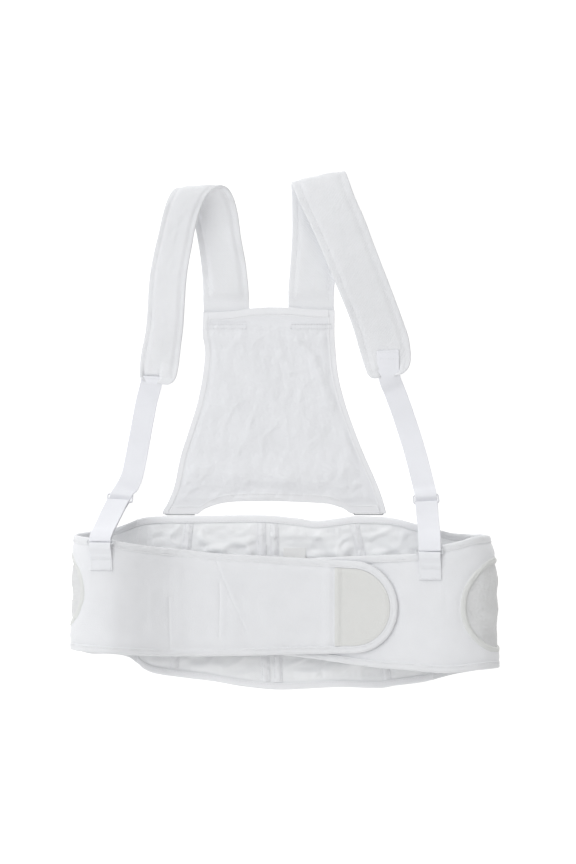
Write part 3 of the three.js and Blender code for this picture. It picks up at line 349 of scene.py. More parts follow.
# The window cloth's darker tint is partly the thin cloth's own tone and partly painted shade, standing in
# for the shade that falls in the side windows.
MESH = cloth("window_cloth_painted_shade", (0.72, 0.723, 0.73), "weave", 1.0, 0.3, sheen=0.1, mottle=0.06)
HOOKS = cloth("hook_tape", (0.715, 0.715, 0.703), "loops", 0.7, 0.4, sheen=0.05)
RIBBED = cloth("elastic_webbing", (0.82, 0.825, 0.865), "ribs", 1.3, 0.12, sheen=0.15)
PAD = cloth("strap_cloth", (0.805, 0.81, 0.832), "knit", 1.3, 0.25)
PAPER = cloth("satin_label", (0.87, 0.87, 0.87), "weave", 0.5, 0.05, rough=0.5, sheen=0.0)
THREAD = cloth("sewing_thread", (0.80, 0.80, 0.82), "ribs", 0.3, 0.1, rough=0.7)
PLASTIC = hard("moulded_nylon", (0.72, 0.725, 0.755), 0.35)
COATED = hard("coated_wire", (0.62, 0.63, 0.65), 0.3)
STEEL = hard("steel_wire", (0.36, 0.37, 0.38), 0.4, 0.5)


# Meshes


def add(name, data):
    made = bpy.data.objects.new(name, data)
    bpy.context.scene.collection.objects.link(made)
    return made


def mesh_piece(name, points, faces, material, marks=None):
    """An object from points in the belt's axes and millimetres."""
    mesh = bpy.data.meshes.new(name)
    points = np.asarray(points, float).reshape(-1, 3).copy()
    points[:, 2] = np.maximum(points[:, 2], 0)
    mesh.from_pydata((points * MM + SHIFT).tolist(), [], faces)
    mesh.polygons.foreach_set("use_smooth", [True] * len(mesh.polygons))
    if marks is not None:
        layer = mesh.attributes.new("cloth", "FLOAT_VECTOR", "POINT")
        layer.data.foreach_set("vector", np.asarray(marks, np.float32).ravel())
    mesh.materials.append(material)
    mesh.update()
    piece = add(name, mesh)
    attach(piece, "root")
    return piece


def stand_in(node):
    """Hides the solid whose place a piece takes."""
    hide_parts(node)


def normals_of(grid, looped=False):
    if looped:
        along = np.roll(grid, -1, 0) - np.roll(grid, 1, 0)
    else:
        along = np.gradient(grid, axis=0)
    across = np.gradient(grid, axis=1)
    n = np.cross(along, across)
    return n / np.maximum(np.linalg.norm(n, axis=2, keepdims=True), 1e-9)


def outward(points, faces):
    a, b, c = (points[faces[:, i]] for i in range(3))
    return faces if np.einsum("ij,ij->", a, np.cross(b, c)) >= 0 else faces[:, ::-1]


def shell_faces(rows, columns, looped=False, keep=None):
    """Quads of a closed shell over a grid: the upper side's points come first."""
    i, j = np.meshgrid(np.arange(rows if looped else rows - 1), np.arange(columns - 1), indexing="ij")
    if keep is not None:
        i, j = i[keep], j[keep]
    i, j = i.ravel(), j.ravel()
    at = lambda side, a, b: side * rows * columns + (a % rows) * columns + b
    upper = np.stack([at(0, i, j), at(0, i + 1, j), at(0, i + 1, j + 1), at(0, i, j + 1)], 1)
    lower = np.stack([at(1, i, j), at(1, i, j + 1), at(1, i + 1, j + 1), at(1, i + 1, j)], 1)
    edges = np.concatenate([upper[:, [k, (k + 1) % 4]] for k in range(4)])
    code = edges[:, 0] * (2 * rows * columns) + edges[:, 1]
    back = edges[:, 1] * (2 * rows * columns) + edges[:, 0]
    rim = edges[~np.isin(back, code)]
    size = rows * columns
    wall = np.stack([rim[:, 1], rim[:, 0], rim[:, 0] + size, rim[:, 1] + size], 1)
    return np.concatenate([upper, lower, wall]), len(upper)


def shell(name, grid, half, material, relief=0.0, under=0.0, *, marks, looped=False, keep=None,
          up=1, lining=None):
    """A closed sheet over a grid of points, with its half thickness and the relief of its faces."""
    grid = np.asarray(grid, float)
    rows, columns = grid.shape[:2]
    n = normals_of(grid, looped) * up
    thick = lambda extra: np.broadcast_to(half + extra, (rows, columns))[..., None]
    both = (grid + n * thick(relief), grid - n * thick(under))
    points = np.concatenate([face.reshape(-1, 3) for face in both])
    faces, upper = shell_faces(rows, columns, looped, keep)
    faces = outward(points, faces)
    flat = np.stack([*np.broadcast_arrays(*marks), np.zeros((rows, columns))], 2).reshape(-1, 3)
    used = np.unique(faces)
    index = np.full(len(points), -1)
    index[used] = np.arange(len(used))
    piece = mesh_piece(name, points[used], index[faces].tolist(), material,
                       np.concatenate([flat, flat])[used])
    if lining is not None:
        piece.data.materials.append(lining)
        lower = (np.arange(len(faces)) >= upper) & (np.arange(len(faces)) < 2 * upper)
        piece.data.polygons.foreach_set("material_index", lower.astype(np.int32))
    return piece


def tube(name, line, radii, material, closed=False, sides=12, up=(0, 0, 1)):
    """A rod along a line, with its half sizes sideways and along up."""
    line = np.asarray(line, float)
    along = np.roll(line, -1, 0) - np.roll(line, 1, 0) if closed else np.gradient(line, axis=0)
    along /= np.linalg.norm(along, axis=1, keepdims=True)
    side = np.cross(along, np.array(up, float))
    side /= np.linalg.norm(side, axis=1, keepdims=True)
    lift = np.cross(side, along)
    angle = np.linspace(0, 2 * math.pi, sides, endpoint=False)
    cos, sin = np.cos(angle), np.sin(angle)
    power = lambda v: np.sign(v) * np.abs(v) ** radii[2] if len(radii) > 2 else v
    ring = (power(cos)[None, :, None] * radii[0] * side[:, None]
            + power(sin)[None, :, None] * radii[1] * lift[:, None])
    points = line[:, None] + ring
    rows = len(line)
    i, k = np.meshgrid(np.arange(rows if closed else rows - 1), np.arange(sides), indexing="ij")
    i, k = i.ravel(), k.ravel()
    at = lambda a, b: (a % rows) * sides + b % sides
    faces = np.stack([at(i, k), at(i, k + 1), at(i + 1, k + 1), at(i + 1, k)], 1)
    points = points.reshape(-1, 3)
    faces = outward(points, faces).tolist()
    if not closed:
        faces += [list(range(sides)), list(range((rows - 1) * sides, rows * sides))[::-1]]
    return mesh_piece(name, points, faces, material)


def seam(name, lines, pitch=3.2, length=2.3, radius=0.24, lift=0.12):
    """Rows of small stitches along lines, each a pair of points and outward normals."""
    sides, rings = 5, 4
    angle = np.linspace(0, 2 * math.pi, sides, endpoint=False)
    share = np.array([-0.5, -0.3, 0.3, 0.5])
    girth = np.array([0.35, 1, 1, 0.35])
    i, k = np.meshgrid(np.arange(rings - 1), np.arange(sides), indexing="ij")
    i, k = i.ravel(), k.ravel()
    quads = np.stack([i * sides + k, i * sides + (k + 1) % sides,
                      (i + 1) * sides + (k + 1) % sides, (i + 1) * sides + k], 1)
    points, faces = [], []
    for line, out in lines:
        line, out = np.asarray(line, float), np.asarray(out, float)
        run = run_along(line)
        where = np.arange(pitch / 2, run[-1], pitch)
        pick = lambda values, at: np.stack([np.interp(at, run, values[:, c]) for c in range(3)], 1)
        middle, n = pick(line, where), pick(out, where)
        ahead = pick(line, where + 0.5) - pick(line, where - 0.5)
        ahead /= np.maximum(np.linalg.norm(ahead, axis=1, keepdims=True), 1e-9)
        side = np.cross(ahead, n)
        side /= np.maximum(np.linalg.norm(side, axis=1, keepdims=True), 1e-9)
        n = np.cross(side, ahead)
        sink = lift - radius * 0.9 * (share * 2) ** 2
        each = lambda vectors: vectors[:, None, None]
        ring = lambda values: values[None, :, None, None]
        around = lambda values: (values * radius)[None, None, :, None]
        rod = (each(middle) + each(ahead) * ring(share * length) + each(n) * ring(sink)
               + each(side) * around(np.cos(angle)) * ring(girth)
               + each(n) * around(np.sin(angle)) * ring(girth))
        base = sum(len(p) for p in points)
        points.append(rod.reshape(-1, 3))
        first = base + np.arange(len(where)) * rings * sides
        faces.append((quads[None] + each(first)).reshape(-1, 4))
    points = np.concatenate(points)
    piece = mesh_piece(name, points, np.concatenate(faces).tolist(), THREAD, points)


# The lumbar panel's outline
LUMBAR_TOP = [
    (-0.7, 0.975), (-0.66, 1.0), (-0.6, 1.012), (-0.47, 1.015), (-0.125, 1.025), (0.07, 0.985),
    (0.14, 0.96), (0.27, 0.993), (0.325, 1.01), (0.486, 1.0), (0.634, 0.917), (0.7, 0.882),
]
LUMBAR_BOTTOM = [
    (-0.7, -0.67), (-0.68, -0.725), (-0.62, -0.79), (-0.52, -0.827), (-0.343, -0.88),
    (-0.195, -0.94), (-0.024, -0.976), (0.27, -0.947), (0.443, -0.96), (0.53, -0.93),
    (0.662, -0.888), (0.7, -0.865),
]
lumbar_top_share = follow(LUMBAR_TOP)
lumbar_bottom_share = follow(LUMBAR_BOTTOM)


def lumbar_top(x):
    return lumbar_top_share(x / HALF_WIDTH) * LUMBAR_HALF


def lumbar_bottom(x):
    return lumbar_bottom_share(x / HALF_WIDTH) * LUMBAR_HALF


# Bands

# How far the ends of the sides lean in above a height, and from which share of the half width on
TAPER_LEFT, TAPER_RIGHT = 3.5, 10.0
TAPER_FROM = 22
TAPER_SHARE = 0.82


class Band:
    """A band follows a path in XZ. Places on it are (s, y, n): distance along the path, height on
    the belt, and distance outwards from its middle surface."""

    def __init__(self, rows, outer, seam_x):
        rows = np.array(rows, float)
        root = ease(1 - np.arange(len(rows)) / 6)
        rows[:, 2] += (lumbar_top(seam_x) - rows[0, 2]) * root
        rows[:, 3] += (lumbar_bottom(seam_x) - rows[0, 3]) * root
        t = np.linspace(0, 1, 601)
        path = through(rows[:, :2])
        point = path(t)
        tangent = path(t + 1e-4) - path(t - 1e-4)
        tangent /= np.linalg.norm(tangent, axis=1, keepdims=True)
        low = point[:, 1] <= BAND / 2
        tangent[low] = np.stack([np.sign(tangent[low, 0]), 0 * tangent[low, 0]], 1)
        point[low, 1] = BAND / 2
        share = np.arange(len(rows)) / (len(rows) - 1)
        self.point = point
        self.tangent = tangent
        self.normal = np.stack([-tangent[:, 1], tangent[:, 0]], 1) * outer
        self.s = run_along(point)
        self.tops = follow(np.stack([share, rows[:, 2]], 1))(t)
        self.bottoms = follow(np.stack([share, rows[:, 3]], 1))(t)
        self.length = self.s[-1]

    def read(self, s, values):
        return np.interp(s, self.s, values)

    def top(self, s):
        return self.read(s, self.tops)

    def bottom(self, s):
        return self.read(s, self.bottoms)

    def x(self, s):
        return self.read(s, self.point[:, 0])

    def z(self, s):
        return self.read(s, self.point[:, 1])

    def direction(self, s, vectors):
        level = 0 * np.asarray(s, float)
        n = np.stack([self.read(s, vectors[:, 0]), level, self.read(s, vectors[:, 1])], -1)
        return n / np.linalg.norm(n, axis=-1, keepdims=True)

    def out(self, s):
        return self.direction(s, self.normal)

    def ahead(self, s):
        return self.direction(s, self.tangent)

    def place(self, s, y, n):
        s, y, n = np.broadcast_arrays(np.asarray(s, float), y, n)
        here = np.stack([self.x(s), y, self.z(s)], -1) + self.out(s) * n[..., None]
        side = np.sign(here[..., 0])
        taper = np.where(side > 0, TAPER_RIGHT, TAPER_LEFT) * np.clip((y - TAPER_FROM) / 50, 0, 1.1) ** 1.7
        share = np.abs(here[..., 0]) / HALF_WIDTH
        here[..., 0] -= side * taper * ease((share - TAPER_SHARE) / (1 - TAPER_SHARE))
        return here

    def where_x(self, x, start):
        picked = self.s >= start
        return self.s[picked][np.argmin(np.abs(self.point[picked, 0] - x))]


SEAT = BAND / 2 / RIDGE
RIGHT_BAND = [
    (0.697, SEAT, 1.53, -1.5), (0.75, SEAT, 1.46, -1.44), (0.805, SEAT, 1.41, -1.38),
    (0.86, SEAT, 1.4, -1.34), (0.915, 0.065, 1.39, -1.3), (0.97, 0.19, 1.4, -1.26),
    (1.0, 0.42, 1.39, -1.21), (0.988, 0.61, 1.4, -1.185), (0.945, 0.785, 1.4, -1.17),
    (0.88, 0.895, 1.38, -1.185), (0.797, 0.94, 1.295, -1.22), (0.718, 0.922, 1.22, -1.235),
    (0.602, 0.817, 1.06, -1.2), (0.463, 0.66, 1.025, -1.18), (0.3, 0.505, 0.985, -1.115),
    (0.14, 0.4, 0.95, -1.03), (-0.046, 0.345, 0.917, -0.945), (-0.23, 0.33, 0.905, -0.9),
    (-0.39, 0.325, 0.895, -0.875), (-0.52, 0.32, 0.893, -0.87),
]
LEFT_SIDE = [
    (-0.697, SEAT, 1.69, -1.17), (-0.745, SEAT, 1.61, -1.03), (-0.8, SEAT, 1.53, -0.98),
    (-0.86, SEAT, 1.48, -0.97), (-0.91, 0.07, 1.47, -0.97), (-0.968, 0.19, 1.44, -0.91),
    (-1.0, 0.42, 1.42, -0.84), (-0.985, 0.66, 1.4, -0.83), (-0.925, 0.89, 1.38, -0.835),
    (-0.852, 0.99, 1.35, -0.845), (-0.797, 1.0, 1.33, -0.865), (-0.73, 0.92, 1.27, -0.89),
    (-0.648, 0.765, 1.21, -0.92), (-0.565, 0.615, 1.16, -0.95), (-0.48, 0.505, 1.12, -0.965),
]
LEFT_FRONT = [
    (-0.325, 0.055, 1.045, -0.97), (-0.125, 0.04, 1.0, -0.955), (0.07, 0.02, 0.955, -0.93),
    (0.21, 0.01, 0.925, -0.915), (0.32, 0.0, 0.905, -0.895), (0.43, 0.0, 0.9, -0.89),
    (0.55, 0.0, 0.9, -0.89),
]
FRONT_SHARE = {"left": 0.4, "right": 0.35}
BAND_SCALE = np.array([HALF_WIDTH, RIDGE, BAND_HALF, BAND_HALF])

right_band = Band(np.array(RIGHT_BAND) * BAND_SCALE, -1, SEAM)
front_start = right_band.length * FRONT_SHARE["right"]


def over_right_band(x):
    s = right_band.where_x(x, front_start)
    tilt = abs(right_band.out(s)[2])
    return right_band.z(s) + (BAND + 2 * RAISE + OVERLAP_GAP) / tilt


front_rows = np.array(LEFT_FRONT) * BAND_SCALE
front_rows[:, 1] += [over_right_band(x) for x in front_rows[:, 0]]
left_band = Band(np.vstack([np.array(LEFT_SIDE) * BAND_SCALE, front_rows]), 1, -SEAM)

BANDS = {"left": left_band, "right": right_band}
left_front = left_band.length * FRONT_SHARE["left"]
round_tip = left_band.where_x(0.526 * HALF_WIDTH, left_front)
round_radius = (left_band.top(round_tip) - left_band.bottom(round_tip)) / 2
round_from = round_tip - round_radius
round_y = (left_band.top(round_from) + left_band.bottom(round_from)) / 2
round_size = (left_band.top(round_from) - left_band.bottom(round_from)) / 2

CREASED_X = ((-126, -104), (-76, -30))
creased = [[left_band.where_x(x, left_front) for x in ends] for ends in CREASED_X]


def left_rows(inset, step, start=GAP):
    """Places along the left band, with its low and high edges in from the bound one."""
    straight = stations(start, round_from, step, creased)[:-4]
    angle = np.linspace(0, math.pi / 2 * 0.985, int(round_size * 1.7 / step))
    radius = round_size - inset
    s = np.concatenate([straight, round_from + radius * np.sin(angle)])
    low = np.concatenate([left_band.bottom(straight) + inset, round_y - radius * np.cos(angle)])
    high = np.concatenate([left_band.top(straight) - inset, round_y + radius * np.cos(angle)])
    return s, low, high


def right_rows(inset, step, counted=None):
    """The same along the right band. Another inset may set how many places there are."""
    s = spaced(GAP, right_band.length - (inset if counted is None else counted), step, 1.0)
    s[-1] = right_band.length - inset
    return s, right_band.bottom(s) + inset, right_band.top(s) - inset


def shares_across(width, step, rounding):
    return spaced(0, width, step, rounding) / width


def edge_distance(side, s, y):
    """How far a place on a band is in from its outer edge."""
    band = BANDS[side]
    across = np.minimum(y - band.bottom(s), band.top(s) - y)
    if side == "right":
        return np.minimum(across, band.length - s)
    around = round_size - np.hypot(s - round_from, y - round_y)
    return np.where(s > round_from, around, across)


WINDOWS = {
    "left": (left_band, 0.2, 0.33, 0.91),
    "right": (right_band, 0.56, 0.04, 1.06),
}


def window_centre(side):
    band, centre_z, centre_y, _ = WINDOWS[side]
    picked = (band.s > band.length * 0.02) & (band.point[:, 1] >= centre_z * RIDGE)
    return band.s[picked][0], centre_y * BAND_HALF


def window_inset(side, s, y):
    """How far a place is inside the oval window's edge."""
    centre_s, centre_y = window_centre(side)
    long, tall = WINDOW[0], WINDOW[1] * WINDOWS[side][3]
    u, v = (s - centre_s) / long, (y - centre_y) / tall
    reach = np.hypot(u, v)
    return (1 - reach) * np.hypot(long * u, tall * v) / np.maximum(reach, 1e-6)


# How far in from the bound edge a body starts, and the bindings are stitched
BODY_INSET = 3.0
FRONT_STITCHES = BINDING - 2.0
BACK_STITCHES = BINDING - 1.8
LUMBAR_REACH = SEAM + 2.5


def band_relief(side, s, y):
    """Relief of a band's outer face: hollow by the binding, slight unevenness and creases."""
    band = BANDS[side]
    edge = edge_distance(side, s, y)
    groove = -0.45 * bell(edge - BINDING - 0.8, 1.5) + 0.35 * bell(edge - BINDING - 7, 5)
    hole = window_inset(side, s, y)
    groove = groove - 0.5 * bell(hole + 1.2, 1.6) + 0.3 * bell(hole + 8, 5)
    uneven = 0.22 * ripple(s, y, 60, 3, 1.6) + 0.06 * ripple(s, y, 16, 4, 1.3)
    if side == "left":
        patch_from = round_from - PATCH_OVERHANG
        groove = groove - 0.9 * bell(s - patch_from + 1.5, 2.2) + 0.4 * bell(s - patch_from + 8, 4)
    return groove + uneven


LEFT_CREASES = [
    (-70.5, 48, -57, 14, 1.1, -0.5), (-57, 14, -39, -26, 0.9, -0.4), (-66.5, 42, -45, -6, 4.0, 0.3),
    (-66.5, 23, -66.2, -3, 1.0, -0.55), (-66.2, -3, -67.2, -30, 1.1, -0.4), (-62.5, 20, -63, -28, 3.5, 0.25),
    (-118, 10, -117, -44, 1.2, -0.35), (-55, 20, -48, -38, 7.0, 0.35),
    (-20, 30, -12, -20, 12.0, 0.3), (-150, 30, -128, -20, 9.0, 0.25),
]
RIGHT_CREASES = [(160, 60, 168, -50, 6.0, 0.5), (128, 40, 140, -55, 7.0, 0.3)]


def band_body(side, rows, up):
    band = BANDS[side]
    s, low, high = rows(BODY_INSET, STEP)
    s2, y = across_grid(s, low, high, shares_across(2 * BAND_HALF, STEP, 1.0))
    front = s2 > band.length * FRONT_SHARE[side]
    creases = LEFT_CREASES if side == "left" else RIGHT_CREASES
    relief = band_relief(side, s2, y) + np.where(front, fold_height(creases, band.x(s2), y), 0)
    if side == "left":
        over_end = ease((band.x(s2) + 119) / 13) * ease((40 - band.x(s2)) / 120)
        relief = relief + np.where(front, 0.8 * over_end, 0)
    middle = band.place(s2, y, relief * 0.7)
    edge = edge_distance(side, s2, y) - BODY_INSET
    half = BAND / 2 * np.maximum(rounded(edge + 0.2, 1.2), 0.05)
    inside = window_inset(side, s2, y)
    cell = (inside[:-1, :-1] + inside[1:, :-1] + inside[:-1, 1:] + inside[1:, 1:]) / 4
    # The bands' inner faces take the lighter lining, partly painted light in the hollows.
    piece = shell(f"front_band_{side}_cloth", middle, half, BRUSHED, relief * 0.3, marks=(s2, y),
                  keep=cell < 3.0, up=up, lining=LINING_AND_PAINTED_LIGHT)
    stand_in(f"front_band_{side}")
    cut = cut_area(s, low, high) - math.pi * WINDOW[0] * WINDOW[1] * 0.6
    return piece, np.max(high - low) + 2 * BODY_INSET, band.length, cut


def ring_outline(side, rows, inset):
    """The bound edge: along the top, round the end and back along the bottom, as s and y."""
    s, low, high = rows(inset, STEP)
    if side == "left":
        return np.concatenate([s, s[::-1]]), np.concatenate([high, low[::-1]])
    count = int((right_band.top(right_band.length) - right_band.bottom(right_band.length)) / STEP)
    end = np.linspace(0, 1, count)[1:-1]
    corner_y = mix(high[-1], low[-1], end)
    return (np.concatenate([s, np.full(len(end), s[-1]), s[::-1]]),
            np.concatenate([high, corner_y, low[::-1]]))


def fixed_right_rows(inset, step):
    return right_rows(inset, step, BINDING)


def tape_shape(inward, radius):
    """Share of a binding's thickness: round outside, and thin along its stitched side."""
    inner = np.where(inward > BINDING - 1, rounded(BINDING - inward + 0.5, 1.2), 1)
    return rounded(inward + 0.05, radius) * inner


def band_binding(side, rows, up):
    band = BANDS[side]
    across = shares_across(BINDING, 0.9, 0.9)
    outer_s, outer_y = ring_outline(side, rows, 0)
    inner_s, inner_y = ring_outline(side, rows, BINDING)
    s = mix(outer_s[:, None], inner_s[:, None], across[None])
    y = mix(outer_y[:, None], inner_y[:, None], across[None])
    middle = band.place(s, y, 0)
    run = run_along(np.stack([outer_s, outer_y], 1))[:, None]
    inward = across[None] * BINDING
    thick = BAND / 2 + RAISE + 0.25
    round_end = ease((s - round_from) / 20) if side == "left" else 0 * s
    half = np.maximum(thick * tape_shape(inward, mix(2.2, 3.4, round_end)), 0.1)
    pucker = 0.10 * ripple(run, inward * 2, 7, 11) - 0.28 * bell(inward - FRONT_STITCHES, 0.7)
    piece = shell(f"front_binding_{side}_tape", middle, half, FRONT_TAPE, pucker + 0.5 * round_end,
                  np.where(band.z(s) > 6, pucker, 0), marks=(run, inward), up=up)
    stand_in(f"front_binding_{side}")
    line_s, line_y = ring_outline(side, rows, FRONT_STITCHES)
    out = band.out(line_s)
    seams = [(band.place(line_s, line_y, sign * (thick - 0.1)), out * sign) for sign in (1, -1)]
    seam(f"front_binding_{side}_stitches", seams)
    return piece


def window_pieces(side, up):
    band = WINDOWS[side][0]
    centre_s, centre_y = window_centre(side)
    long, tall = WINDOW[0], WINDOW[1] * WINDOWS[side][3]
    angle = np.linspace(0, 2 * math.pi, 150, endpoint=False)
    across = shares_across(RIM + 1.2, 0.7, 0.9)
    inset = across[None] * (RIM + 1.2) - 0.9
    s = centre_s + (long - inset) * np.cos(angle)[:, None]
    y = centre_y + (tall - inset) * np.sin(angle)[:, None]
    middle = band.place(s, y, 0)
    inward = inset + 0.9
    shape = rounded(inward + 0.05, 2.6) * rounded(RIM + 1.25 - inward, 2.6)
    half = (BAND / 2 + 0.55) * np.maximum(shape, 0.06)
    pucker = 0.12 * ripple(angle[:, None] * long, inward * 2, 6, 21)
    # The rim's darker tint is painted shade.
    rim = shell(f"window_rim_{side}_tape", middle, half, RIM_TAPE_PAINTED_SHADE, pucker,
                marks=(angle[:, None] * long, inward), looped=True, up=up)
    stand_in(f"window_rim_{side}")

    a = np.linspace(-1, 1, 84)
    u, v = np.meshgrid(a, a, indexing="ij")
    disc_u, disc_v = u * np.sqrt(1 - v * v / 2), v * np.sqrt(1 - u * u / 2)
    s = centre_s + (long - RIM + 1.2) * disc_u
    y = centre_y + (tall - RIM + 1.2) * disc_v
    inside = 1 - np.hypot(disc_u, disc_v)
    crumple = (0.3 * (crease(ripple(s, y, 12, 31, 2.6, 0.2), 2.0) - 0.4)
               + 0.2 * (crease(ripple(s, y, 8, 32, 1.5, -0.6), 2.0) - 0.4)
               + 0.06 * ripple(s, y, 5, 33) + 0.4 * ripple(s, y, 30, 34)) * ease(inside / 0.15) - 0.5
    middle = band.place(s, y, crumple)
    # Darker window cloth: partly painted shade.
    fabric = shell(f"side_window_{side}_cloth", middle, 0.5, MESH, marks=(s, y), up=up)
    stand_in(f"side_window_{side}")
    return rim


bodies = [band_body("left", left_rows, 1), band_body("right", right_rows, -1)]
bindings = [band_binding("left", left_rows, 1), band_binding("right", fixed_right_rows, -1)]
rims = [window_pieces("left", 1), window_pieces("right", -1)]


# The hook patch on the round end


def closure_patch():
    inset = BINDING + GAP
    s, low, high = left_rows(inset, STEP, round_from - PATCH_OVERHANG)
    s2, y = across_grid(s, low, high, shares_across(2 * (BAND_HALF - inset), STEP, 1.0))
    edge = np.minimum(edge_distance("left", s2, y) - inset, s2 - s[0])
    body = band_relief("left", s2, y) * 0.7
    half = 0.5 * np.maximum(rounded(edge + 0.05, 1.4), 0.05)
    from_seam = s2 - s[0]
    welt = 0.9 * bell(from_seam - 3.2, 2.0) - 0.4 * bell(edge - 1.2, 0.9) - 0.3 * bell(from_seam - 7.5, 1.8)
    middle = left_band.place(s2, y, BAND / 2 + 0.45 + body * 0.6 - 0.35 * ease(edge / 9))
    piece = shell("closure_patch_tape", middle, half, HOOKS, welt, marks=(s2, y), up=1)
    stand_in("closure_patch")
    float(cut_area(s, low, high)) * MM**2


closure_patch()


# The lumbar panel

CHANNELS = [(-0.455, -0.54), (-0.115, -0.09), (-0.055, -0.03), (0.323, 0.5)]
LUMBAR_FOLDS = [
    (-0.64, 0.8, -0.58, 0.45, 0.025, 2.2), (-0.4, 0.75, -0.2, 0.45, 0.03, 2.0),
    (-0.38, 0.2, -0.16, 0.62, 0.03, 2.0), (0.17, 0.8, 0.27, 0.5, 0.025, 2.2),
    (0.15, 0.25, 0.29, 0.6, 0.025, 1.8), (0.48, 0.8, 0.64, 0.35, 0.03, 2.4),
    (-0.42, -0.75, -0.2, -0.6, 0.03, 2.0), (0.08, -0.8, 0.36, -0.66, 0.03, 2.2),
    (-0.36, 0.62, -0.16, 0.72, 0.018, 1.5), (0.12, 0.55, 0.3, 0.64, 0.018, 1.5),
    (-0.62, 0.56, -0.5, 0.62, 0.018, 1.5), (0.36, 0.5, 0.5, 0.66, 0.02, 1.6),
]
LUMBAR_FOLDS = [(a * HALF_WIDTH, b * LUMBAR_HALF, c * HALF_WIDTH, d * LUMBAR_HALF, w * HALF_WIDTH, h)
                for a, b, c, d, w, h in LUMBAR_FOLDS]


def channel_x(channel, y):
    return mix(channel[1], channel[0], (y / LUMBAR_HALF + 1) / 2) * HALF_WIDTH


def lumbar_middle(x, y):
    """Middle surface of the lumbar panel: folds and puckers between the sewn channels."""
    from_edge = np.minimum(np.minimum(lumbar_top(x) - y, y - lumbar_bottom(x)), SEAM - np.abs(x)) - BINDING
    away = np.min([np.abs(x - channel_x(c, y)) for c in CHANNELS], axis=0) - CHANNEL / 2
    from_label = np.maximum(np.abs(x - LABEL_X) - LABEL[0] / 2,
                            np.abs(y - LABEL_TOP + LABEL[1] / 2) - LABEL[1] / 2)
    level = ease(np.minimum(np.minimum(from_edge, away), from_label) / 10)
    near = ease(from_edge / 4) * ease(away / 1.5)
    folds = fold_height(LUMBAR_FOLDS, x, y) * level
    pucker = 1.5 * crease(ripple(x, y, 34, 41, 1.7, 0.3), 1.6) + 0.25 * ripple(x, y, 13, 42, 1.6)
    gather = (0.3 * ripple(x * 0.25, y, 8, 43) * bell(away - 2, 7)
              + 0.25 * ripple(x, y * 0.3, 8, 44) * bell(from_edge - 2, 7))
    seat = -0.2 * bell(away, 1.4) - 0.25 * bell(from_edge, 1.6)
    small = (pucker + gather) * near * (0.35 + 0.65 * level)
    return LUMBAR / 2 + folds + small + seat * ease((from_edge + 2) / 3)


def lumbar_panel():
    step = 1.5
    line = spaced(-LUMBAR_REACH, LUMBAR_REACH, step, 1.0)
    low, high = lumbar_bottom(line) + BODY_INSET, lumbar_top(line) - BODY_INSET
    x, y = across_grid(line, low, high, shares_across(170, step, 1.0))
    edge = np.minimum(np.minimum(y - low[:, None], high[:, None] - y), LUMBAR_REACH - np.abs(x))
    half = LUMBAR / 2 * np.maximum(rounded(edge + 0.05, 1.2), 0.05)
    middle = np.stack([x, y, lumbar_middle(x, y)], 2)
    # The back panel takes the lighter lining, partly painted light lifting its shade under the bands.
    piece = shell("back_panel_cloth", middle, half, LINING_AND_PAINTED_LIGHT, marks=(x, y), up=-1)
    stand_in("back_panel")
    return piece, np.max(high - low) + 2 * BODY_INSET, 2 * SEAM, cut_area(line, low, high)


def lumbar_binding(name, outer, direction):
    x = spaced(-LUMBAR_REACH, LUMBAR_REACH, STEP, 0.8)
    x2, inward = np.meshgrid(x, spaced(0, BINDING, 0.9, 0.9), indexing="ij")
    y = outer(x)[:, None] + direction * inward
    end = np.minimum(LUMBAR_REACH - np.abs(x2), 2)
    thick = LUMBAR / 2 + RAISE
    half = thick * np.maximum(tape_shape(inward, 2.2) * rounded(end + 0.2, 0.8), 0.06)
    wave = 0.5 * (1 + np.tanh(ripple(x2, 0 * y, 34, 51)))
    lift = 0.3 + 0.8 * wave
    pucker = 0.14 * ripple(x2, inward * 3, 6, 52) - 0.3 * bell(inward - BACK_STITCHES, 0.7)
    middle = np.stack([x2, y, thick - 0.2 + lift * ease(inward / 3) * 0.5], 2)
    # The lighter tape here is painted light.
    piece = shell(f"{name}_tape", middle, half, TAPE, pucker, marks=(x2, inward), up=-direction)
    stand_in(name)
    line = np.stack([x, outer(x) + direction * BACK_STITCHES, 2 * thick - 0.2 + 0.5 * lift[:, 0]], 1)
    seam(f"{name}_stitches", [facing_up(line[1:-1])])
    return piece


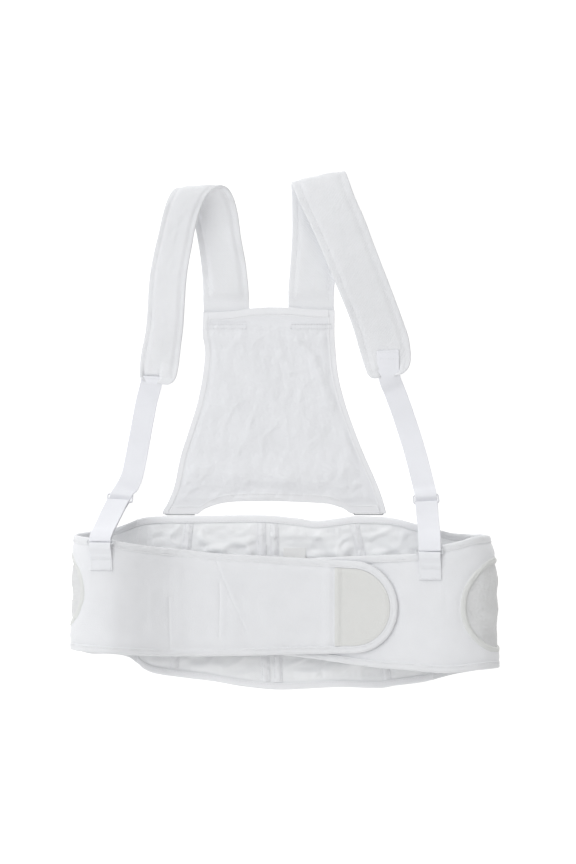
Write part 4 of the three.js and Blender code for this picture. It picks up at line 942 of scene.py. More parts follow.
def stay_channel(k):
    channel = CHANNELS[k]
    inset = BINDING + 2 * GAP
    y = spaced(lumbar_bottom(channel[1] * HALF_WIDTH) + inset,
               lumbar_top(channel[0] * HALF_WIDTH) - inset, STEP, 0.8)
    c = spaced(-CHANNEL / 2, CHANNEL / 2, 0.8, 0.8)
    x = channel_x(channel, y)[:, None] + c[None]
    y2 = np.broadcast_to(y[:, None], x.shape)
    edge = CHANNEL / 2 - np.abs(c[None]) + 0 * x
    puff = 0.75 * ease((edge - 1.2) / 2.2) - 0.25 * bell(edge - 1.2, 0.5)
    wrinkle = 0.18 * ripple(x, y2, 7, 61 + k, 1.0) + 0.2 * ripple(x * 0.3, y2, 10, 71 + k)
    base = lumbar_middle(channel_x(channel, y), y)[:, None] + LUMBAR / 2 + 0.35
    middle = np.stack([x, y2, base + 0.2 * wrinkle], 2)
    half = 0.4 * np.maximum(rounded(edge + 0.05, 0.8), 0.08)
    # The lighter tape here is painted light.
    piece = shell(f"stay_channel_{k + 1}_tape", middle, half, TAPE,
                  np.maximum(puff + wrinkle * 0.6, -0.2), marks=(y2, c[None] + 0 * x), up=-1)
    stand_in(f"stay_channel_{k + 1}")
    lines = []
    for side in (-1, 1):
        at = channel_x(channel, y) + side * (CHANNEL / 2 - 1.2)
        lines.append(facing_up(np.stack([at, y, base[:, 0] + 0.32], 1)))
    seam(f"stay_channel_{k + 1}_stitches", lines, pitch=2.8, length=2.0)
    return piece


def care_label():
    x = spaced(LABEL_X - LABEL[0] / 2, LABEL_X + LABEL[0] / 2, 1.2, 0.5)
    y = spaced(LABEL_TOP - LABEL[1], LABEL_TOP, 1.2, 0.5)
    x2, y2 = np.meshgrid(x, y, indexing="ij")
    base = LUMBAR + 2 * GAP + 0.3
    curl = (1.2 * ((x2 - LABEL_X) / LABEL[0] * 2) ** 2 * ease((LABEL_TOP - y2) / 12)
            + 0.15 * ripple(x2, y2, 16, 81))
    middle = np.stack([x2, y2, base + np.maximum(curl, 0)], 2)
    edge = np.minimum(np.minimum(x2 - x[0], x[-1] - x2), np.minimum(y2 - y[0], y[-1] - y2))
    half = 0.3 * np.maximum(rounded(edge + 0.05, 0.4), 0.2)
    piece = shell("care_label_satin", middle, half, PAPER, marks=(x2, y2), up=1)
    stand_in("care_label")


back_panel, back_width, back_length, back_area = lumbar_panel()
back_top = lumbar_binding("back_binding_top", lumbar_top, -1)
back_bottom = lumbar_binding("back_binding_bottom", lumbar_bottom, 1)
channels = [stay_channel(k) for k in range(4)]
care_label()


# The upper back panel

UPPER_SIDES = [
    (0, 0.638, 0.54), (0.1, 0.645, 0.538), (0.2, 0.622, 0.55), (0.3, 0.638, 0.567),
    (0.45, 0.688, 0.63), (0.6, 0.77, 0.722), (0.73, 0.843, 0.815), (0.87, 0.895, 0.925),
    (0.95, 0.95, 0.975), (1, 1.0, 1.0),
]
ARCH_RISE = [
    (0, 0), (0.155, 0.0), (0.19, 0.3), (0.225, 0.62), (0.264, 0.83), (0.346, 0.97), (0.44, 1),
    (0.61, 0.9), (0.73, 0.76), (0.8, 0.36), (0.845, 0.0), (1, 0),
]
CROWN_RISE = [(0, 0), (0.2, 0.1), (0.36, 0.75), (0.5, 1), (0.64, 0.95), (0.8, 0.6), (1, 0.45)]
UPPER_FOLDS = [
    (-0.72, 0.78, -0.32, 0.82, 0.05, 0.5), (-0.32, 0.82, 0.1, 0.835, 0.05, 0.6),
    (0.1, 0.835, 0.66, 0.8, 0.05, 0.55), (-0.02, 0.1, 0.13, 0.29, 0.024, 0.3),
    (0.066, 0.08, 0.2, 0.14, 0.02, 0.35), (0.22, 0.15, 0.33, 0.22, 0.022, 0.4),
    (0.36, 0.24, 0.43, 0.335, 0.024, 0.45), (0.45, 0.36, 0.48, 0.46, 0.024, 0.35),
    (0.44, 0.12, 0.5, 0.28, 0.02, 0.35),
    (-0.35, 0.2, -0.15, 0.33, 0.06, 0.3), (-0.4, 0.45, -0.2, 0.62, 0.06, 0.3),
    (-0.55, 0.9, -0.2, 0.92, 0.03, 0.35), (0.3, 0.89, 0.7, 0.9, 0.03, 0.4),
]
hook_height = 2 * HOOK_CORNER + 2 * WIRE
corner_left = UPPER_X - UPPER_HALF + CORNER / 2
corner_right = UPPER_X + UPPER_HALF - CORNER / 2
upper_bottom = max(lumbar_top(corner_left), lumbar_top(corner_right)) + hook_height + 2 * GAP
upper_top = upper_bottom + UPPER_HEIGHT
UPPER_FOLDS = [(UPPER_X + a * UPPER_HALF, upper_top - b * UPPER_HEIGHT, UPPER_X + c * UPPER_HALF,
                upper_top - d * UPPER_HEIGHT, w * UPPER_HALF * 2, h * FOLD)
               for a, b, c, d, w, h in UPPER_FOLDS]
upper_left_share, upper_right_share = follow(UPPER_SIDES, 1), follow(UPPER_SIDES, 2)
arch_at, crown_at = follow(ARCH_RISE), follow(CROWN_RISE)


def over_hook(across):
    """How far the panel's corners reach down over the wire of the back hooks."""
    return 3.1 * ease((0.19 - across) / 0.04) + 2.3 * ease((across - 0.81) / 0.04)


def upper_sides(level):
    return (UPPER_X - upper_left_share(level) * UPPER_HALF,
            UPPER_X + upper_right_share(level) * UPPER_HALF)


def upper_level(y):
    return np.clip((upper_top - y) / UPPER_HEIGHT, 0, 1)


def upper_place(across, down):
    top = upper_top + crown_at(across) * CROWN
    bottom = upper_bottom + arch_at(across) * ARCH - over_hook(across)
    y = mix(top, bottom, down)
    return mix(*upper_sides((upper_top - y) / UPPER_HEIGHT), across), y


def upper_middle(x, y):
    on_straps = ease((y - (upper_top - SEWN - 22)) / 18)
    seat = (STRAP_SEWN + 2 * GAP) * on_straps
    level = upper_level(y)
    left, right = upper_sides(level)
    from_side = np.minimum(x - left, right - x) - UPPER_EDGE
    from_hem = np.minimum(1 - level, level) * UPPER_HEIGHT - 2 * UPPER_HEM
    inside = ease(np.minimum(from_side, from_hem) / (2 * UPPER_EDGE))
    folds = fold_height(UPPER_FOLDS, x, y)
    low_down = ease((level - 0.62) / 0.3)
    crinkle = (0.6 + 0.3 * ripple(x, y, 45, 91) + 0.55 * crease(ripple(x, y, 44, 95, 1.2, 1.1), 1.3)
               + 0.12 * ripple(x, y, 14, 93) + 0.07 * ripple(x, y, 5, 94)
               + low_down * (0.5 * crease(ripple(x, y, 24, 96, 2.4, 0.15), 1.5) + 0.1 * ripple(x, y, 8, 97)))
    near = ease(np.minimum(from_side, from_hem + UPPER_HEM) / 6)
    return UPPER / 2 + seat + folds * inside + np.maximum(crinkle, 0) * near


# The middles of the straps' sewn ends across the panel, and how far below its top their boxes start
STRAP_FEET = {"left": -0.433, "right": 0.329}
STRAP_ENDS = ((STRAP_FEET["left"], 1.0), (STRAP_FEET["right"], 3.5))


def strap_box(x, y):
    """Distance in from the edges of the strap ends sewn under the upper panel."""
    inside = []
    for foot, top in STRAP_ENDS:
        middle = UPPER_X + foot * UPPER_HALF
        inside.append(np.minimum(STRAP_WIDTH / 2 - 1 - np.abs(x - middle),
                                 np.minimum(upper_top - top - y, y - upper_top + SEWN)))
    return np.max(inside, axis=0)


def box_relief(x, y):
    distance = strap_box(x, y)
    rows = sum(bell(y - upper_top + down, 0.7) for down in (8.5, 13.0))
    hem_line = 0.5 * bell(y - upper_top + SEWN, 1.2) * (np.max([distance, 0 * distance - 1], axis=0) > -1)
    return (0.7 * ease(distance / 2) - 0.5 * bell(distance - 1.8, 0.7)
            - 0.45 * rows * ease(distance - 1) + hem_line)


def upper_shell(name, across_of, down, material, half, relief, edge, up=1):
    rows = [upper_place(across_of(d), np.full_like(across_of(d), d)) for d in down]
    x, y = np.array([r[0] for r in rows]), np.array([r[1] for r in rows])
    middle = np.stack([x, y, upper_middle(x, y)], 2)
    shape = np.maximum(rounded(edge(x, y) + 0.05, 0.8), 0.08)
    return shell(name, middle, half * shape, material, relief(x, y), marks=(x, y), up=up)


def upper_width(down):
    return UPPER_HALF * (upper_left_share(down) + upper_right_share(down))


def upper_pieces():
    free = lambda x, y: 9 + 0 * x
    inside = lambda d: mix(3 / upper_width(d), 1 - 3 / upper_width(d), np.linspace(0, 1, 140))
    near_top = np.arange(4.0, 26.0, 0.8)
    body_down = np.concatenate([near_top, np.linspace(26, UPPER_HEIGHT - 4, 125)]) / UPPER_HEIGHT
    body = upper_shell("upper_back_panel_cloth", inside, body_down, NET, UPPER / 2, box_relief, free, -1)
    stand_in("upper_back_panel")
    boxes = []
    for foot, top in STRAP_ENDS:
        middle, reach = UPPER_X + foot * UPPER_HALF, STRAP_WIDTH / 2 - 2.8
        rows = [upper_top - down for down in (top + 9, 13.0, SEWN - 1.8)]
        ends = [((middle - reach, y), (middle + reach, y)) for y in rows]
        ends += [((middle + k * reach, rows[0]), (middle + k * reach, rows[-1])) for k in (-1, 1)]
        for (x0, y0), (x1, y1) in ends:
            x, y = np.linspace(x0, x1, 30), np.linspace(y0, y1, 30)
            z = upper_middle(x, y) + UPPER / 2 + box_relief(x, y) + 0.12
            boxes.append(facing_up(np.stack([x, y, z], 1)))
    seam("upper_back_panel_stitches", boxes, pitch=2.8, length=2.0)
    strip = spaced(0, 1, 0.13, 0.12)
    stitched = lambda distance: -0.25 * bell(distance - 1.6, 0.5)

    def edging(name, across_of, down, distance, width, line):
        puff = lambda x, y: (0.35 * rounded(distance(x, y), 1.5) + stitched(width - distance(x, y))
                             + 0.12 * ripple(x, y, 7, 101) + 0.08 * ripple(x, y, 4, 102))
        edge = lambda x, y: np.minimum(distance(x, y), width - distance(x, y) + 0.1)
        piece = upper_shell(f"{name}_tape", across_of, down, EDGE_TAPE, UPPER / 2 + 0.15, puff, edge, -1)
        stand_in(name)
        x, y = line
        points = np.stack([x, y, upper_middle(x, y) + UPPER / 2 + 0.4], 1)
        seam(f"{name}_stitches", [facing_up(points)])

    side_down = np.linspace(0.0, 1.0, int(205 / STEP))

    def side_distance(sign):
        def value(x, y):
            left, right = upper_sides(upper_level(y))
            return np.maximum(x - left if sign < 0 else right - x, 0)
        return value

    line_down = np.linspace(0.02, 0.98, 160)
    share = (UPPER_EDGE - 1.6) / upper_width(line_down)
    edging("upper_binding_left", lambda d: strip * UPPER_EDGE / upper_width(d), side_down,
           side_distance(-1), UPPER_EDGE, upper_place(share, line_down))
    edging("upper_binding_right", lambda d: 1 - strip[::-1] * UPPER_EDGE / upper_width(d), side_down,
           side_distance(1), UPPER_EDGE, upper_place(1 - share, line_down))
    between = np.linspace(0, 1, 140)
    hem = UPPER_HEM / UPPER_HEIGHT
    line_across = np.linspace(0.05, 0.95, 200)

    def hem_across(down):
        inset = (UPPER_EDGE - 0.9) / upper_width(down)
        return mix(inset, 1 - inset, between)

    def share_of(x, y):
        level = upper_level(y)
        return (x - upper_sides(level)[0]) / upper_width(level)

    from_top = lambda x, y: np.maximum(upper_top + crown_at(share_of(x, y)) * CROWN - y, 0)
    from_bottom = lambda x, y: np.maximum(
        y - upper_bottom - arch_at(share_of(x, y)) * ARCH + over_hook(share_of(x, y)), 0)
    edging("upper_hem_top", hem_across, hem * strip, from_top, UPPER_HEM,
           upper_place(line_across, hem * 0.82 + 0 * line_across))
    edging("upper_hem_bottom", hem_across, 1 - hem * strip[::-1], from_bottom, UPPER_HEM,
           upper_place(line_across, 1 - hem * 0.82 + 0 * line_across))
    width = upper_width(body_down)


upper_pieces()


# Shoulder straps

LEFT_STRAP = [
    (-0.49, -0.14, 0.0, 0.5, -0.14, 0.0, 0), (-0.49, 0.0, 0.0, 0.51, 0.0, 0.0, 0),
    (-0.5, 0.085, 0.0, 0.51, 0.085, 0.0, 0.05), (-0.5, 0.18, 0.03, 0.5, 0.17, 0.03, 1),
    (-0.54, 0.38, 0.07, 0.44, 0.38, 0.07, 1), (-0.62, 0.58, 0.15, 0.34, 0.58, 0.18, 1),
    (-0.73, 0.76, 0.28, 0.27, 0.77, 0.32, 1), (-0.88, 0.89, 0.48, 0.18, 0.885, 0.54, 1),
    (-1.02, 0.945, 0.72, 0.05, 0.95, 0.8, 1), (-1.14, 0.915, 0.9, -0.12, 0.955, 0.97, 1),
    (-1.26, 0.825, 0.95, -0.34, 0.9, 1.0, 1), (-1.35, 0.72, 0.88, -0.5, 0.8, 0.95, 1),
    (-1.44, 0.59, 0.74, -0.61, 0.67, 0.86, 1), (-1.55, 0.44, 0.57, -0.71, 0.5, 0.72, 1),
    (-1.65, 0.26, 0.38, -0.82, 0.3, 0.55, 1), (-1.7, 0.06, 0.2, -0.88, 0.08, 0.38, 1),
    (-1.75, -0.14, 0.08, -0.92, -0.12, 0.2, 1), (-1.84, -0.3, 0.03, -0.98, -0.28, 0.07, 1),
    (-1.89, -0.45, 0.02, -1.05, -0.47, 0.02, 1), (-1.87, -0.54, 0.02, -1.14, -0.59, 0.02, 0.9),
]
RIGHT_STRAP = [
    (-0.5, -0.12, 0.0, 0.48, -0.12, 0.0, 0), (-0.5, 0.0, 0.0, 0.5, 0.0, 0.0, 0),
    (-0.5, 0.085, 0.0, 0.5, 0.085, 0.0, 0.05), (-0.5, 0.18, 0.0, 0.51, 0.18, 0.0, 1),
    (-0.46, 0.38, 0.0, 0.54, 0.4, 0.0, 1), (-0.42, 0.6, 0.03, 0.58, 0.62, 0.03, 1),
    (-0.42, 0.8, 0.05, 0.63, 0.85, 0.06, 1), (-0.43, 0.93, 0.11, 0.68, 1.0, 0.14, 1),
    (-0.44, 1.0, 0.23, 0.71, 1.085, 0.26, 1), (-0.42, 1.0, 0.37, 0.75, 1.09, 0.4, 1),
    (-0.35, 0.93, 0.45, 0.83, 1.01, 0.48, 1), (-0.24, 0.84, 0.47, 0.95, 0.89, 0.48, 1),
    (-0.04, 0.69, 0.46, 1.16, 0.72, 0.45, 1), (0.2, 0.5, 0.43, 1.36, 0.53, 0.38, 1),
    (0.44, 0.29, 0.37, 1.58, 0.33, 0.29, 1), (0.68, 0.09, 0.26, 1.8, 0.13, 0.18, 1),
    (0.87, -0.08, 0.13, 1.98, -0.04, 0.08, 1), (1.0, -0.23, 0.05, 2.14, -0.21, 0.03, 1),
    (1.13, -0.39, 0.02, 2.18, -0.385, 0.02, 1), (1.27, -0.535, 0.02, 2.07, -0.495, 0.02, 0.9),
]
STRAPS = {
    "left": (np.array(LEFT_STRAP), STRAP_FEET["left"], 0.965, 0.33),
    "right": (np.array(RIGHT_STRAP), STRAP_FEET["right"], 0.93, 0.55),
}
STRAP_CORNERS = {"left": (5.0, 9.0), "right": (6.0, 9.0)}


def strap_edges(side, t):
    """Both edges of a strap at shares along it, and how padded it is there."""
    rows, foot, _, _ = STRAPS[side]
    foot_x = UPPER_X + foot * UPPER_HALF
    lift = mix(STRAP_SEWN, STRAP, rows[:, 6]) / 2
    edge = lambda c: np.stack([foot_x + rows[:, c] * STRAP_WIDTH, upper_top + rows[:, c + 1] * REACH,
                               lift + rows[:, c + 2] * ROLL], 1)
    share = np.arange(len(rows)) / (len(rows) - 1)
    pad = np.clip(follow(np.stack([share, rows[:, 6]], 1))(t), 0, 1)
    lowest = mix(STRAP_SEWN, STRAP, pad) / 2
    a, b = through(edge(0))(t), through(edge(3))(t)
    a[..., 2] = np.maximum(a[..., 2], lowest)
    b[..., 2] = np.maximum(b[..., 2], lowest)
    return a, b, pad


def shoulder_strap(side):
    count = 235
    t = np.concatenate([spaced(0, 0.93, 1 / count, 0.003)[:-4], np.linspace(0.93, 1, 46) ** 0.8])
    t = np.clip(t, 0, 1)
    a, b, pad = strap_edges(side, t)
    run = run_along((a + b) / 2)[:, None]
    rest = run[-1] - run
    wide = np.linalg.norm(b - a, axis=1, keepdims=True)
    round_in = lambda radius: radius - np.sqrt(radius**2 - np.clip(radius - rest, 0, radius) ** 2)
    left_in, right_in = (round_in(r) for r in STRAP_CORNERS[side])
    a, b = a + (b - a) / wide * left_in, b - (b - a) / wide * right_in
    across = shares_across(STRAP_WIDTH, 1.5, 1.2)
    grid = mix(a[:, None], b[:, None], across[None, :, None])
    from_elastic = (across - STRAPS[side][3])[None] * STRAP_WIDTH
    lobes = ease(1 - rest / 24) * ease((np.abs(from_elastic) - 9.5) / 4.5)
    grid[:, :, 2] += 4.6 * lobes
    inward = np.minimum(STRAP_WIDTH * (0.5 - np.abs(across - 0.5))[None] + 0 * rest, rest + 0.3)
    end = np.minimum(run, rest)
    flange = 0.5 * STRAP * 0.7
    puff = 0.5 * STRAP * 1.08
    half = mix(flange, puff, ease((inward - 6.0) / 5.0)) - 0.32 * bell(inward - 6.0, 1.2)
    half = half * np.maximum(rounded(inward + 0.08, 1.6), 0.08) * np.maximum(rounded(end + 0.15, 1.8), 0.1)
    half = mix(np.minimum(half, STRAP_SEWN / 2), half, pad[:, None])
    wrinkle = (0.14 * ripple(run, inward * 1.2 * np.sign(across - 0.5)[None], 22, 111)
               + 0.08 * ripple(run, inward * 2 * np.sign(across - 0.5)[None], 6, 112) * bell(inward - 3, 3))
    wrinkle = wrinkle * pad[:, None]
    piece = shell(f"shoulder_strap_{side}_pad", grid, half, PAD, wrinkle, wrinkle * 0.8,
                  marks=(run + 0 * inward, across[None] * STRAP_WIDTH + 0 * run))
    stand_in(f"shoulder_strap_{side}")
    n = normals_of(grid)
    lines = []
    for share in (5.0 / STRAP_WIDTH, 1 - 5.0 / STRAP_WIDTH):
        j = int(np.argmin(np.abs(across - share)))
        keep = slice(int(count * 0.12), -16)
        for sign in (1, -1):
            surface = grid[:, j] + sign * n[:, j] * (half[:, j] + 0.05)[:, None]
            lines.append((surface[keep], sign * n[keep, j]))
    seam(f"shoulder_strap_{side}_stitches", lines)


for side in STRAPS:
    shoulder_strap(side)


# Front hooks, tabs, elastics and sliders

WRAP = WIRE + GAP + ELASTIC / 2
TAB_SEAT = BAND / 2 + RAISE + GAP + TAB / 2
TAB_WRAP = WIRE + GAP + TAB / 2
HOOK_SPAN = 2 * WIRE + ELASTIC + TAB + 3 * GAP
UP = np.array([0.0, 1.0, 0.0])


def unit(v):
    return v / np.maximum(np.linalg.norm(v, axis=-1, keepdims=True), 1e-9)


def front_fixing(band, x_share):
    s = band.where_x(x_share * HALF_WIDTH, band.length * 0.2)
    ahead = band.ahead(s)
    top = band.top(s) - HOOK_DROP
    lower = band.place(s, top + TAB_WRAP + GAP, TAB_SEAT + TAB_WRAP)
    return {"band": band, "s": s, "across": ahead * np.sign(ahead[0]), "out": band.out(s), "top": top,
            "facing": np.sign(ahead[0]), "lower": lower, "upper": lower + UP * HOOK_SPAN}


FIXINGS = {"left": front_fixing(left_band, -0.85), "right": front_fixing(right_band, 0.676)}


def wire_loop(name, centre, across, up, width, corner, radius, material):
    angle = np.linspace(0, math.pi, 13)
    outward_of = lambda a: across * np.cos(a)[:, None] + up * np.sin(a)[:, None]
    right = centre + across * (width / 2 - corner) + outward_of(math.pi / 2 - angle) * corner
    left = centre - across * (width / 2 - corner) + outward_of(-math.pi / 2 - angle) * corner
    fill = lambda p, q: mix(p[None], q[None], np.linspace(0, 1, 14)[1:-1, None])
    line = np.concatenate([right, fill(right[-1], left[0]), left, fill(left[-1], right[0])])
    return tube(name, line, (radius, radius), material, closed=True, up=tuple(np.cross(across, up)))


def front_hook(side):
    fixing = FIXINGS[side]
    width = ELASTIC_WIDTH + 2 * WIRE + 2.4
    piece = wire_loop(f"hook_{side}_wire", (fixing["lower"] + fixing["upper"]) / 2, fixing["across"], UP,
                      width, 1.9, WIRE * 0.85, COATED)
    stand_in(f"hook_{side}")


def front_tab(side):
    fixing = FIXINGS[side]
    band, s, top = fixing["band"], fixing["s"], fixing["top"]

    def surface(share, below, n):
        curved = band.place(s + fixing["facing"] * share * TAB_WIDTH, top - below, n)
        flat = band.place(s, top - below, n) + fixing["across"] * share * TAB_WIDTH
        near = 1 if below < 3 else 0.8
        return mix(curved, flat, ease(1 - below / TAB_LENGTH) * near)

    def outer(below):
        apart = TAB + GAP
        sewn = 0 if below > TAB_RETURN + GAP else apart
        lift = mix(2 * TAB_WRAP, sewn, ease(below / TAB_RETURN))
        return TAB_SEAT + (mix(apart, 0, ease((below - TAB_RETURN) / 5)) if below > TAB_RETURN else lift)

    shares = np.linspace(-0.5, 0.5, 3)
    down = np.array([2.33, 1.78, 1.5, 1.22, 1, 0.83, 0.67, 0.44, 0.22, 0]) * TAB_RETURN
    rows = [[surface(q, below, outer(below)) for q in shares] for below in (TAB_LENGTH, *down)]
    for share in np.linspace(0, 1, 7):
        angle = math.pi / 2 - share * math.pi
        rows.append([fixing["lower"] + fixing["across"] * q * TAB_WIDTH
                     + fixing["out"] * TAB_WRAP * math.sin(angle) + UP * TAB_WRAP * math.cos(angle)
                     for q in shares])
    for part in (0, 0.22, 0.44, 0.67):
        rows.append([surface(q, part * TAB_RETURN, TAB_SEAT) for q in shares])
    rows = np.array(rows)
    t = spaced(0, 1, 1 / 70, 0.01)
    columns = [through(rows[:, c])(t) for c in range(3)]
    w = shares_across(TAB_WIDTH, 1.4, 0.8)
    half_way = lambda k: mix(columns[k][:, None], columns[k + 1][:, None], (2 * w - k)[None, :, None])
    grid = np.where((w < 0.5)[None, :, None], half_way(0), half_way(1))
    inward = TAB_WIDTH * (0.5 - np.abs(w - 0.5))[None]
    run = run_along(columns[1])[:, None]
    edge = np.minimum(inward, np.minimum(run, run[-1] - run))
    half = TAB / 2 * np.maximum(rounded(edge + 0.1, 0.8), 0.15)
    piece = shell(f"tab_{side}_webbing", grid, half, TAB_TAPE, 0.05 * ripple(run, inward, 6, 121),
                  marks=(run + 0 * inward, w[None] * TAB_WIDTH + 0 * run))
    stand_in(f"tab_{side}")
    frame_line = []
    q, low, high = 0.43, TAB_LENGTH - 1.6, 12
    for q0, q1, b0, b1 in ((-q, q, low, low), (q, q, low, high), (q, -q, high, high), (-q, -q, high, low)):
        places = [(mix(q0, q1, k), mix(b0, b1, k)) for k in np.linspace(0, 1, 10)]
        points = np.array([surface(at, below, outer(below) + TAB / 2) for at, below in places])
        frame_line.append((points, np.tile(fixing["out"], (10, 1))))
    seam(f"tab_{side}_stitches", frame_line, pitch=2.6, length=1.8)


ROUTES = {
    "left": [(0.108, 0.003, 0.0), (0.234, 0.015, 0.0), (0.383, 0.032, 0.03), (0.495, 0.046, 0.12),
             (0.6, 0.056, 0.26), (0.66, 0.048, 0.36), (0.716, 0.034, 0.45), (0.775, 0.021, 0.56),
             (0.85, 0.011, 0.71), (0.925, 0.003, 0.88), (0.968, 0.0, 0.98)],
    "right": [(0.085, 0.013, 0.0), (0.175, 0.026, 0.0), (0.317, 0.041, 0.03), (0.458, 0.051, 0.14),
              (0.595, 0.053, 0.33), (0.686, 0.052, 0.47), (0.746, 0.045, 0.57), (0.815, 0.033, 0.7),
              (0.89, 0.021, 0.86), (0.95, 0.01, 0.98)],
}
SLIDER_ALONG = {"left": 0.716, "right": 0.746}
SLIDER_SQUARE = {"left": 0.9, "right": 0.4}


class Route:
    """The middle line of an elastic, from the strap to its hook."""

    def __init__(self, side):
        _, _, elastic_share, start = STRAPS[side]
        steps = 38
        t = np.array([round(elastic_share * steps) / steps, 1.0])
        a, b, _ = strap_edges(side, t)
        middle = mix(a, b, start) + [0, 0, STRAP / 2 + GAP + ELASTIC / 2]
        sewn, edge = middle
        self.hook = FIXINGS[side]
        self.square = SLIDER_SQUARE[side]
        target = self.hook["upper"]
        run = np.array([*(target - edge)[:2], 0])
        length = np.linalg.norm(run)
        sideways = np.array([-run[1], run[0], 0]) / length
        points = [np.array([edge[0], edge[1], 0]) + run * along + sideways * bow * length
                  + [0, 0, mix(ELASTIC / 2, target[2], rise)] for along, bow, rise in ROUTES[side]]
        beyond = unit(edge - sewn) * ELASTIC
        curve = through([sewn, edge + beyond, *points, target])
        t = np.linspace(0, 1, 3001)
        self.points = curve(t)
        self.s = run_along(self.points)
        self.tangents = unit(np.gradient(self.points, axis=0))
        self.length = self.s[-1]
        self.slider = self.length * SLIDER_ALONG[side]

    def at(self, distance, offset=0.0):
        read = lambda values: np.array([np.interp(distance, self.s, values[:, c]) for c in range(3)])
        point, tangent = read(self.points), unit(read(self.tangents))
        point[2] = max(point[2], ELASTIC / 2)
        level = unit(np.array([-tangent[1], tangent[0], 0]))
        level = mix(level, np.array([1.0, 0, 0]), self.square * ease((distance - self.slider) / 24 + 1))
        to_bar = ease((distance - self.slider) / (self.length - self.slider))
        across = unit(mix(level, self.hook["across"], to_bar))
        up = unit(np.cross(tangent, across))
        return point + up * offset, across, up


def elastic_line(side):
    route = Route(side)
    clear = SLIDER / 2 + GAP + ELASTIC / 2 + 0.1
    half = SLIDER_WINDOW / 2
    line = []
    put = lambda distance, offset: line.append(route.at(distance, offset)[:2])
    before = route.slider - half - BAR
    for share in np.linspace(0, 1, 19):
        put(share * (before - 8), 0)
    put(before - 2, clear)
    put(route.slider - half, clear)
    put(route.slider, 0)
    start = route.slider + half + BAR + 2
    put(route.slider + half, -clear)
    put(start, -clear)
    end = route.length - 3
    closed = ELASTIC / 2 + GAP
    apart = follow([(0, clear), (0.3, closed), (0.7, closed), (1, WRAP)])
    inner = np.linspace(0, 1, 9)[1:]
    for share in inner:
        put(mix(start, end, share), -apart(share))
    _, _, up = route.at(route.length)
    across = route.hook["across"]
    forward = unit(np.cross(across, up))
    for share in np.linspace(0, 1, 9):
        angle = -math.pi / 2 + share * math.pi
        turn = forward * WRAP * math.cos(angle) + up * WRAP * math.sin(angle)
        line.append((route.hook["upper"] + turn, across))
    for share in inner[::-1]:
        put(mix(start, end, share), apart(share))
    put(route.slider + half + GAP, clear + 0.1)
    return np.array([p for p, _ in line]), np.array([a for _, a in line])


def elastic(side):
    points, across = elastic_line(side)
    t = np.linspace(0, 1, 420)
    line = through(points)(t)
    steps = np.arange(len(across))
    wide = unit(np.stack([np.interp(t * steps[-1], steps, across[:, c]) for c in range(3)], 1))
    w = spaced(-0.5, 0.5, 0.05, 0.04)
    grid = line[:, None] + wide[:, None] * (w * ELASTIC_WIDTH)[None, :, None]
    run = run_along(line)[:, None]
    inward = (ELASTIC_WIDTH * (0.5 - np.abs(w)))[None]
    edge = np.minimum(inward, np.minimum(run, run[-1] - run))
    selvedge = 0.14 * bell(inward - 1.2, 0.7) - 0.1 * bell(inward - 2.8, 0.6)
    half = ELASTIC / 2 * np.maximum(rounded(edge + 0.1, 0.7), 0.15)
    piece = shell(f"elastic_{side}_webbing", grid, half, RIBBED, selvedge, selvedge,
                  marks=(run + 0 * inward, (w * ELASTIC_WIDTH)[None] + 0 * run))
    stand_in(f"elastic_{side}")
    j0, j1 = int(np.argmin(np.abs(w + 0.4))), int(np.argmin(np.abs(w - 0.4)))
    n = normals_of(grid)
    box = []
    for distance in (2.2, 9.0):
        i = int(np.argmin(np.abs(run[:, 0] - distance)))
        box.append((grid[i, j0:j1] + n[i, j0:j1] * ELASTIC / 2, n[i, j0:j1]))
    seam(f"elastic_{side}_stitches", box, pitch=2.6, length=1.8)


def slider(side):
    route = Route(side)
    point, across, up = route.at(route.slider)
    forward = unit(np.cross(up, across))
    half_width = ELASTIC_WIDTH / 2 + 1.3
    half_height = SLIDER_WINDOW / 2 + BAR / 2
    corner = 1.6
    line = []
    for cx, cy, start in ((1, 1, 0), (-1, 1, 90), (-1, -1, 180), (1, -1, 270)):
        for a in np.radians(start + np.linspace(0, 90, 6)):
            line.append(point + across * (cx * (half_width - corner) + corner * math.cos(a))
                        + forward * (cy * (half_height - corner) + corner * math.sin(a)))
    line = np.array(line)
    dense = []
    for a, b in zip(line, np.roll(line, -1, 0)):
        count = max(1, int(np.linalg.norm(b - a) / 1.5))
        dense += [mix(a, b, k / count) for k in range(count)]
    piece = tube(f"slider_{side}_frame", dense, (0.9, SLIDER / 2, 0.6), PLASTIC, closed=True, sides=16,
                 up=tuple(up))
    stand_in(f"slider_{side}")


for make in (front_hook, front_tab, elastic, slider):
    for side in FIXINGS:
        make(side)

for side, x in (("left", corner_left), ("right", corner_right)):
    middle = np.array([x, upper_bottom - GAP - hook_height / 2, WIRE])
    back_hook = wire_loop(f"back_hook_{side}_wire", middle, np.array([1.0, 0, 0]), UP, HOOK_WIDTH,
                          HOOK_CORNER, 0.6, STEEL)
    stand_in(f"back_hook_{side}")


# The surface, the light and the camera

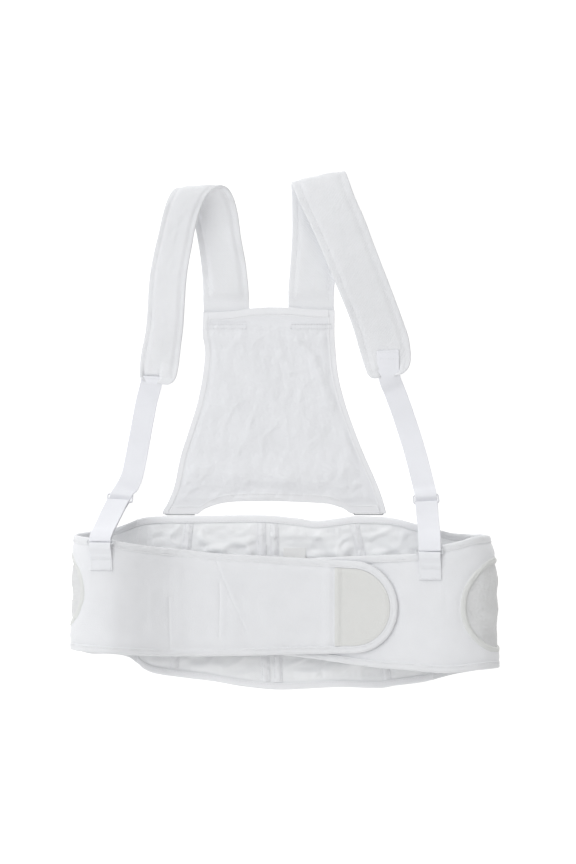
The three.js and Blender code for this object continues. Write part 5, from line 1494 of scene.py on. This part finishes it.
floor_mesh = bpy.data.meshes.new("floor")
floor_mesh.from_pydata([(-6, -6, 0), (6, -6, 0), (6, 6, 0), (-6, 6, 0)], [], [(0, 1, 2, 3)])
floor = add("floor", floor_mesh)
paper = bpy.data.materials.new("white_surface")
paper.use_nodes = True
paper_shader = paper.node_tree.nodes["Principled BSDF"]
paper_shader.inputs["Base Color"].default_value = (0.85, 0.85, 0.845, 1)
paper_shader.inputs["Roughness"].default_value = 0.9
paper_shader.inputs["Emission Color"].default_value = (1, 1, 0.99, 1)
paper_shader.inputs["Emission Strength"].default_value = 0.5
floor_mesh.materials.append(paper)

world = bpy.data.worlds.new("studio")
world.use_nodes = True
sky = world.node_tree.nodes["Background"]
sky.inputs["Color"].default_value = (1.0, 0.998, 0.985, 1)
sky.inputs["Strength"].default_value = 0.38
bpy.context.scene.world = world


def lamp_along(name, data, place, way):
    lamp = add(name, data)
    lamp.location = place
    lamp.rotation_mode = "QUATERNION"
    lamp.rotation_quaternion = Vector(way).to_track_quat("-Z", "Y")


def soft_light(name, way, strength, spread, tint):
    """A wide soft light from far off, shining along a direction."""
    data = bpy.data.lights.new(name, "SUN")
    data.energy = strength
    data.angle = math.radians(spread)
    data.color = tint
    lamp_along(name, data, (-Vector(way).normalized() * 3)[:], way)


soft_light("fill_above", (0.1, -0.82, -0.55), 1.12, 60, (1.0, 0.998, 0.99))
soft_light("fill_below", (0.1, 0.82, -0.55), 0.97, 60, (1.0, 0.998, 0.99))
window_data = bpy.data.lights.new("window_light", "AREA")
window_data.shape = "SQUARE"
window_data.size = 1.5
window_data.energy = 14.2
window_data.color = (0.955, 0.98, 1.0)
lamp_along("window_light", window_data, (-1.05, 0.35, 1.7), (1.05, -0.35, -1.7))

camera_data = bpy.data.cameras.new("camera")
camera_data.sensor_width = 36
camera_data.lens = 80.9
camera_data.clip_end = 20
camera = add("camera", camera_data)
camera.location = (0.00309, -0.00082, 2.0)
bpy.context.scene.camera = camera
bpy.context.scene.view_settings.view_transform = "Standard"
bpy.context.scene.view_settings.look = "None"
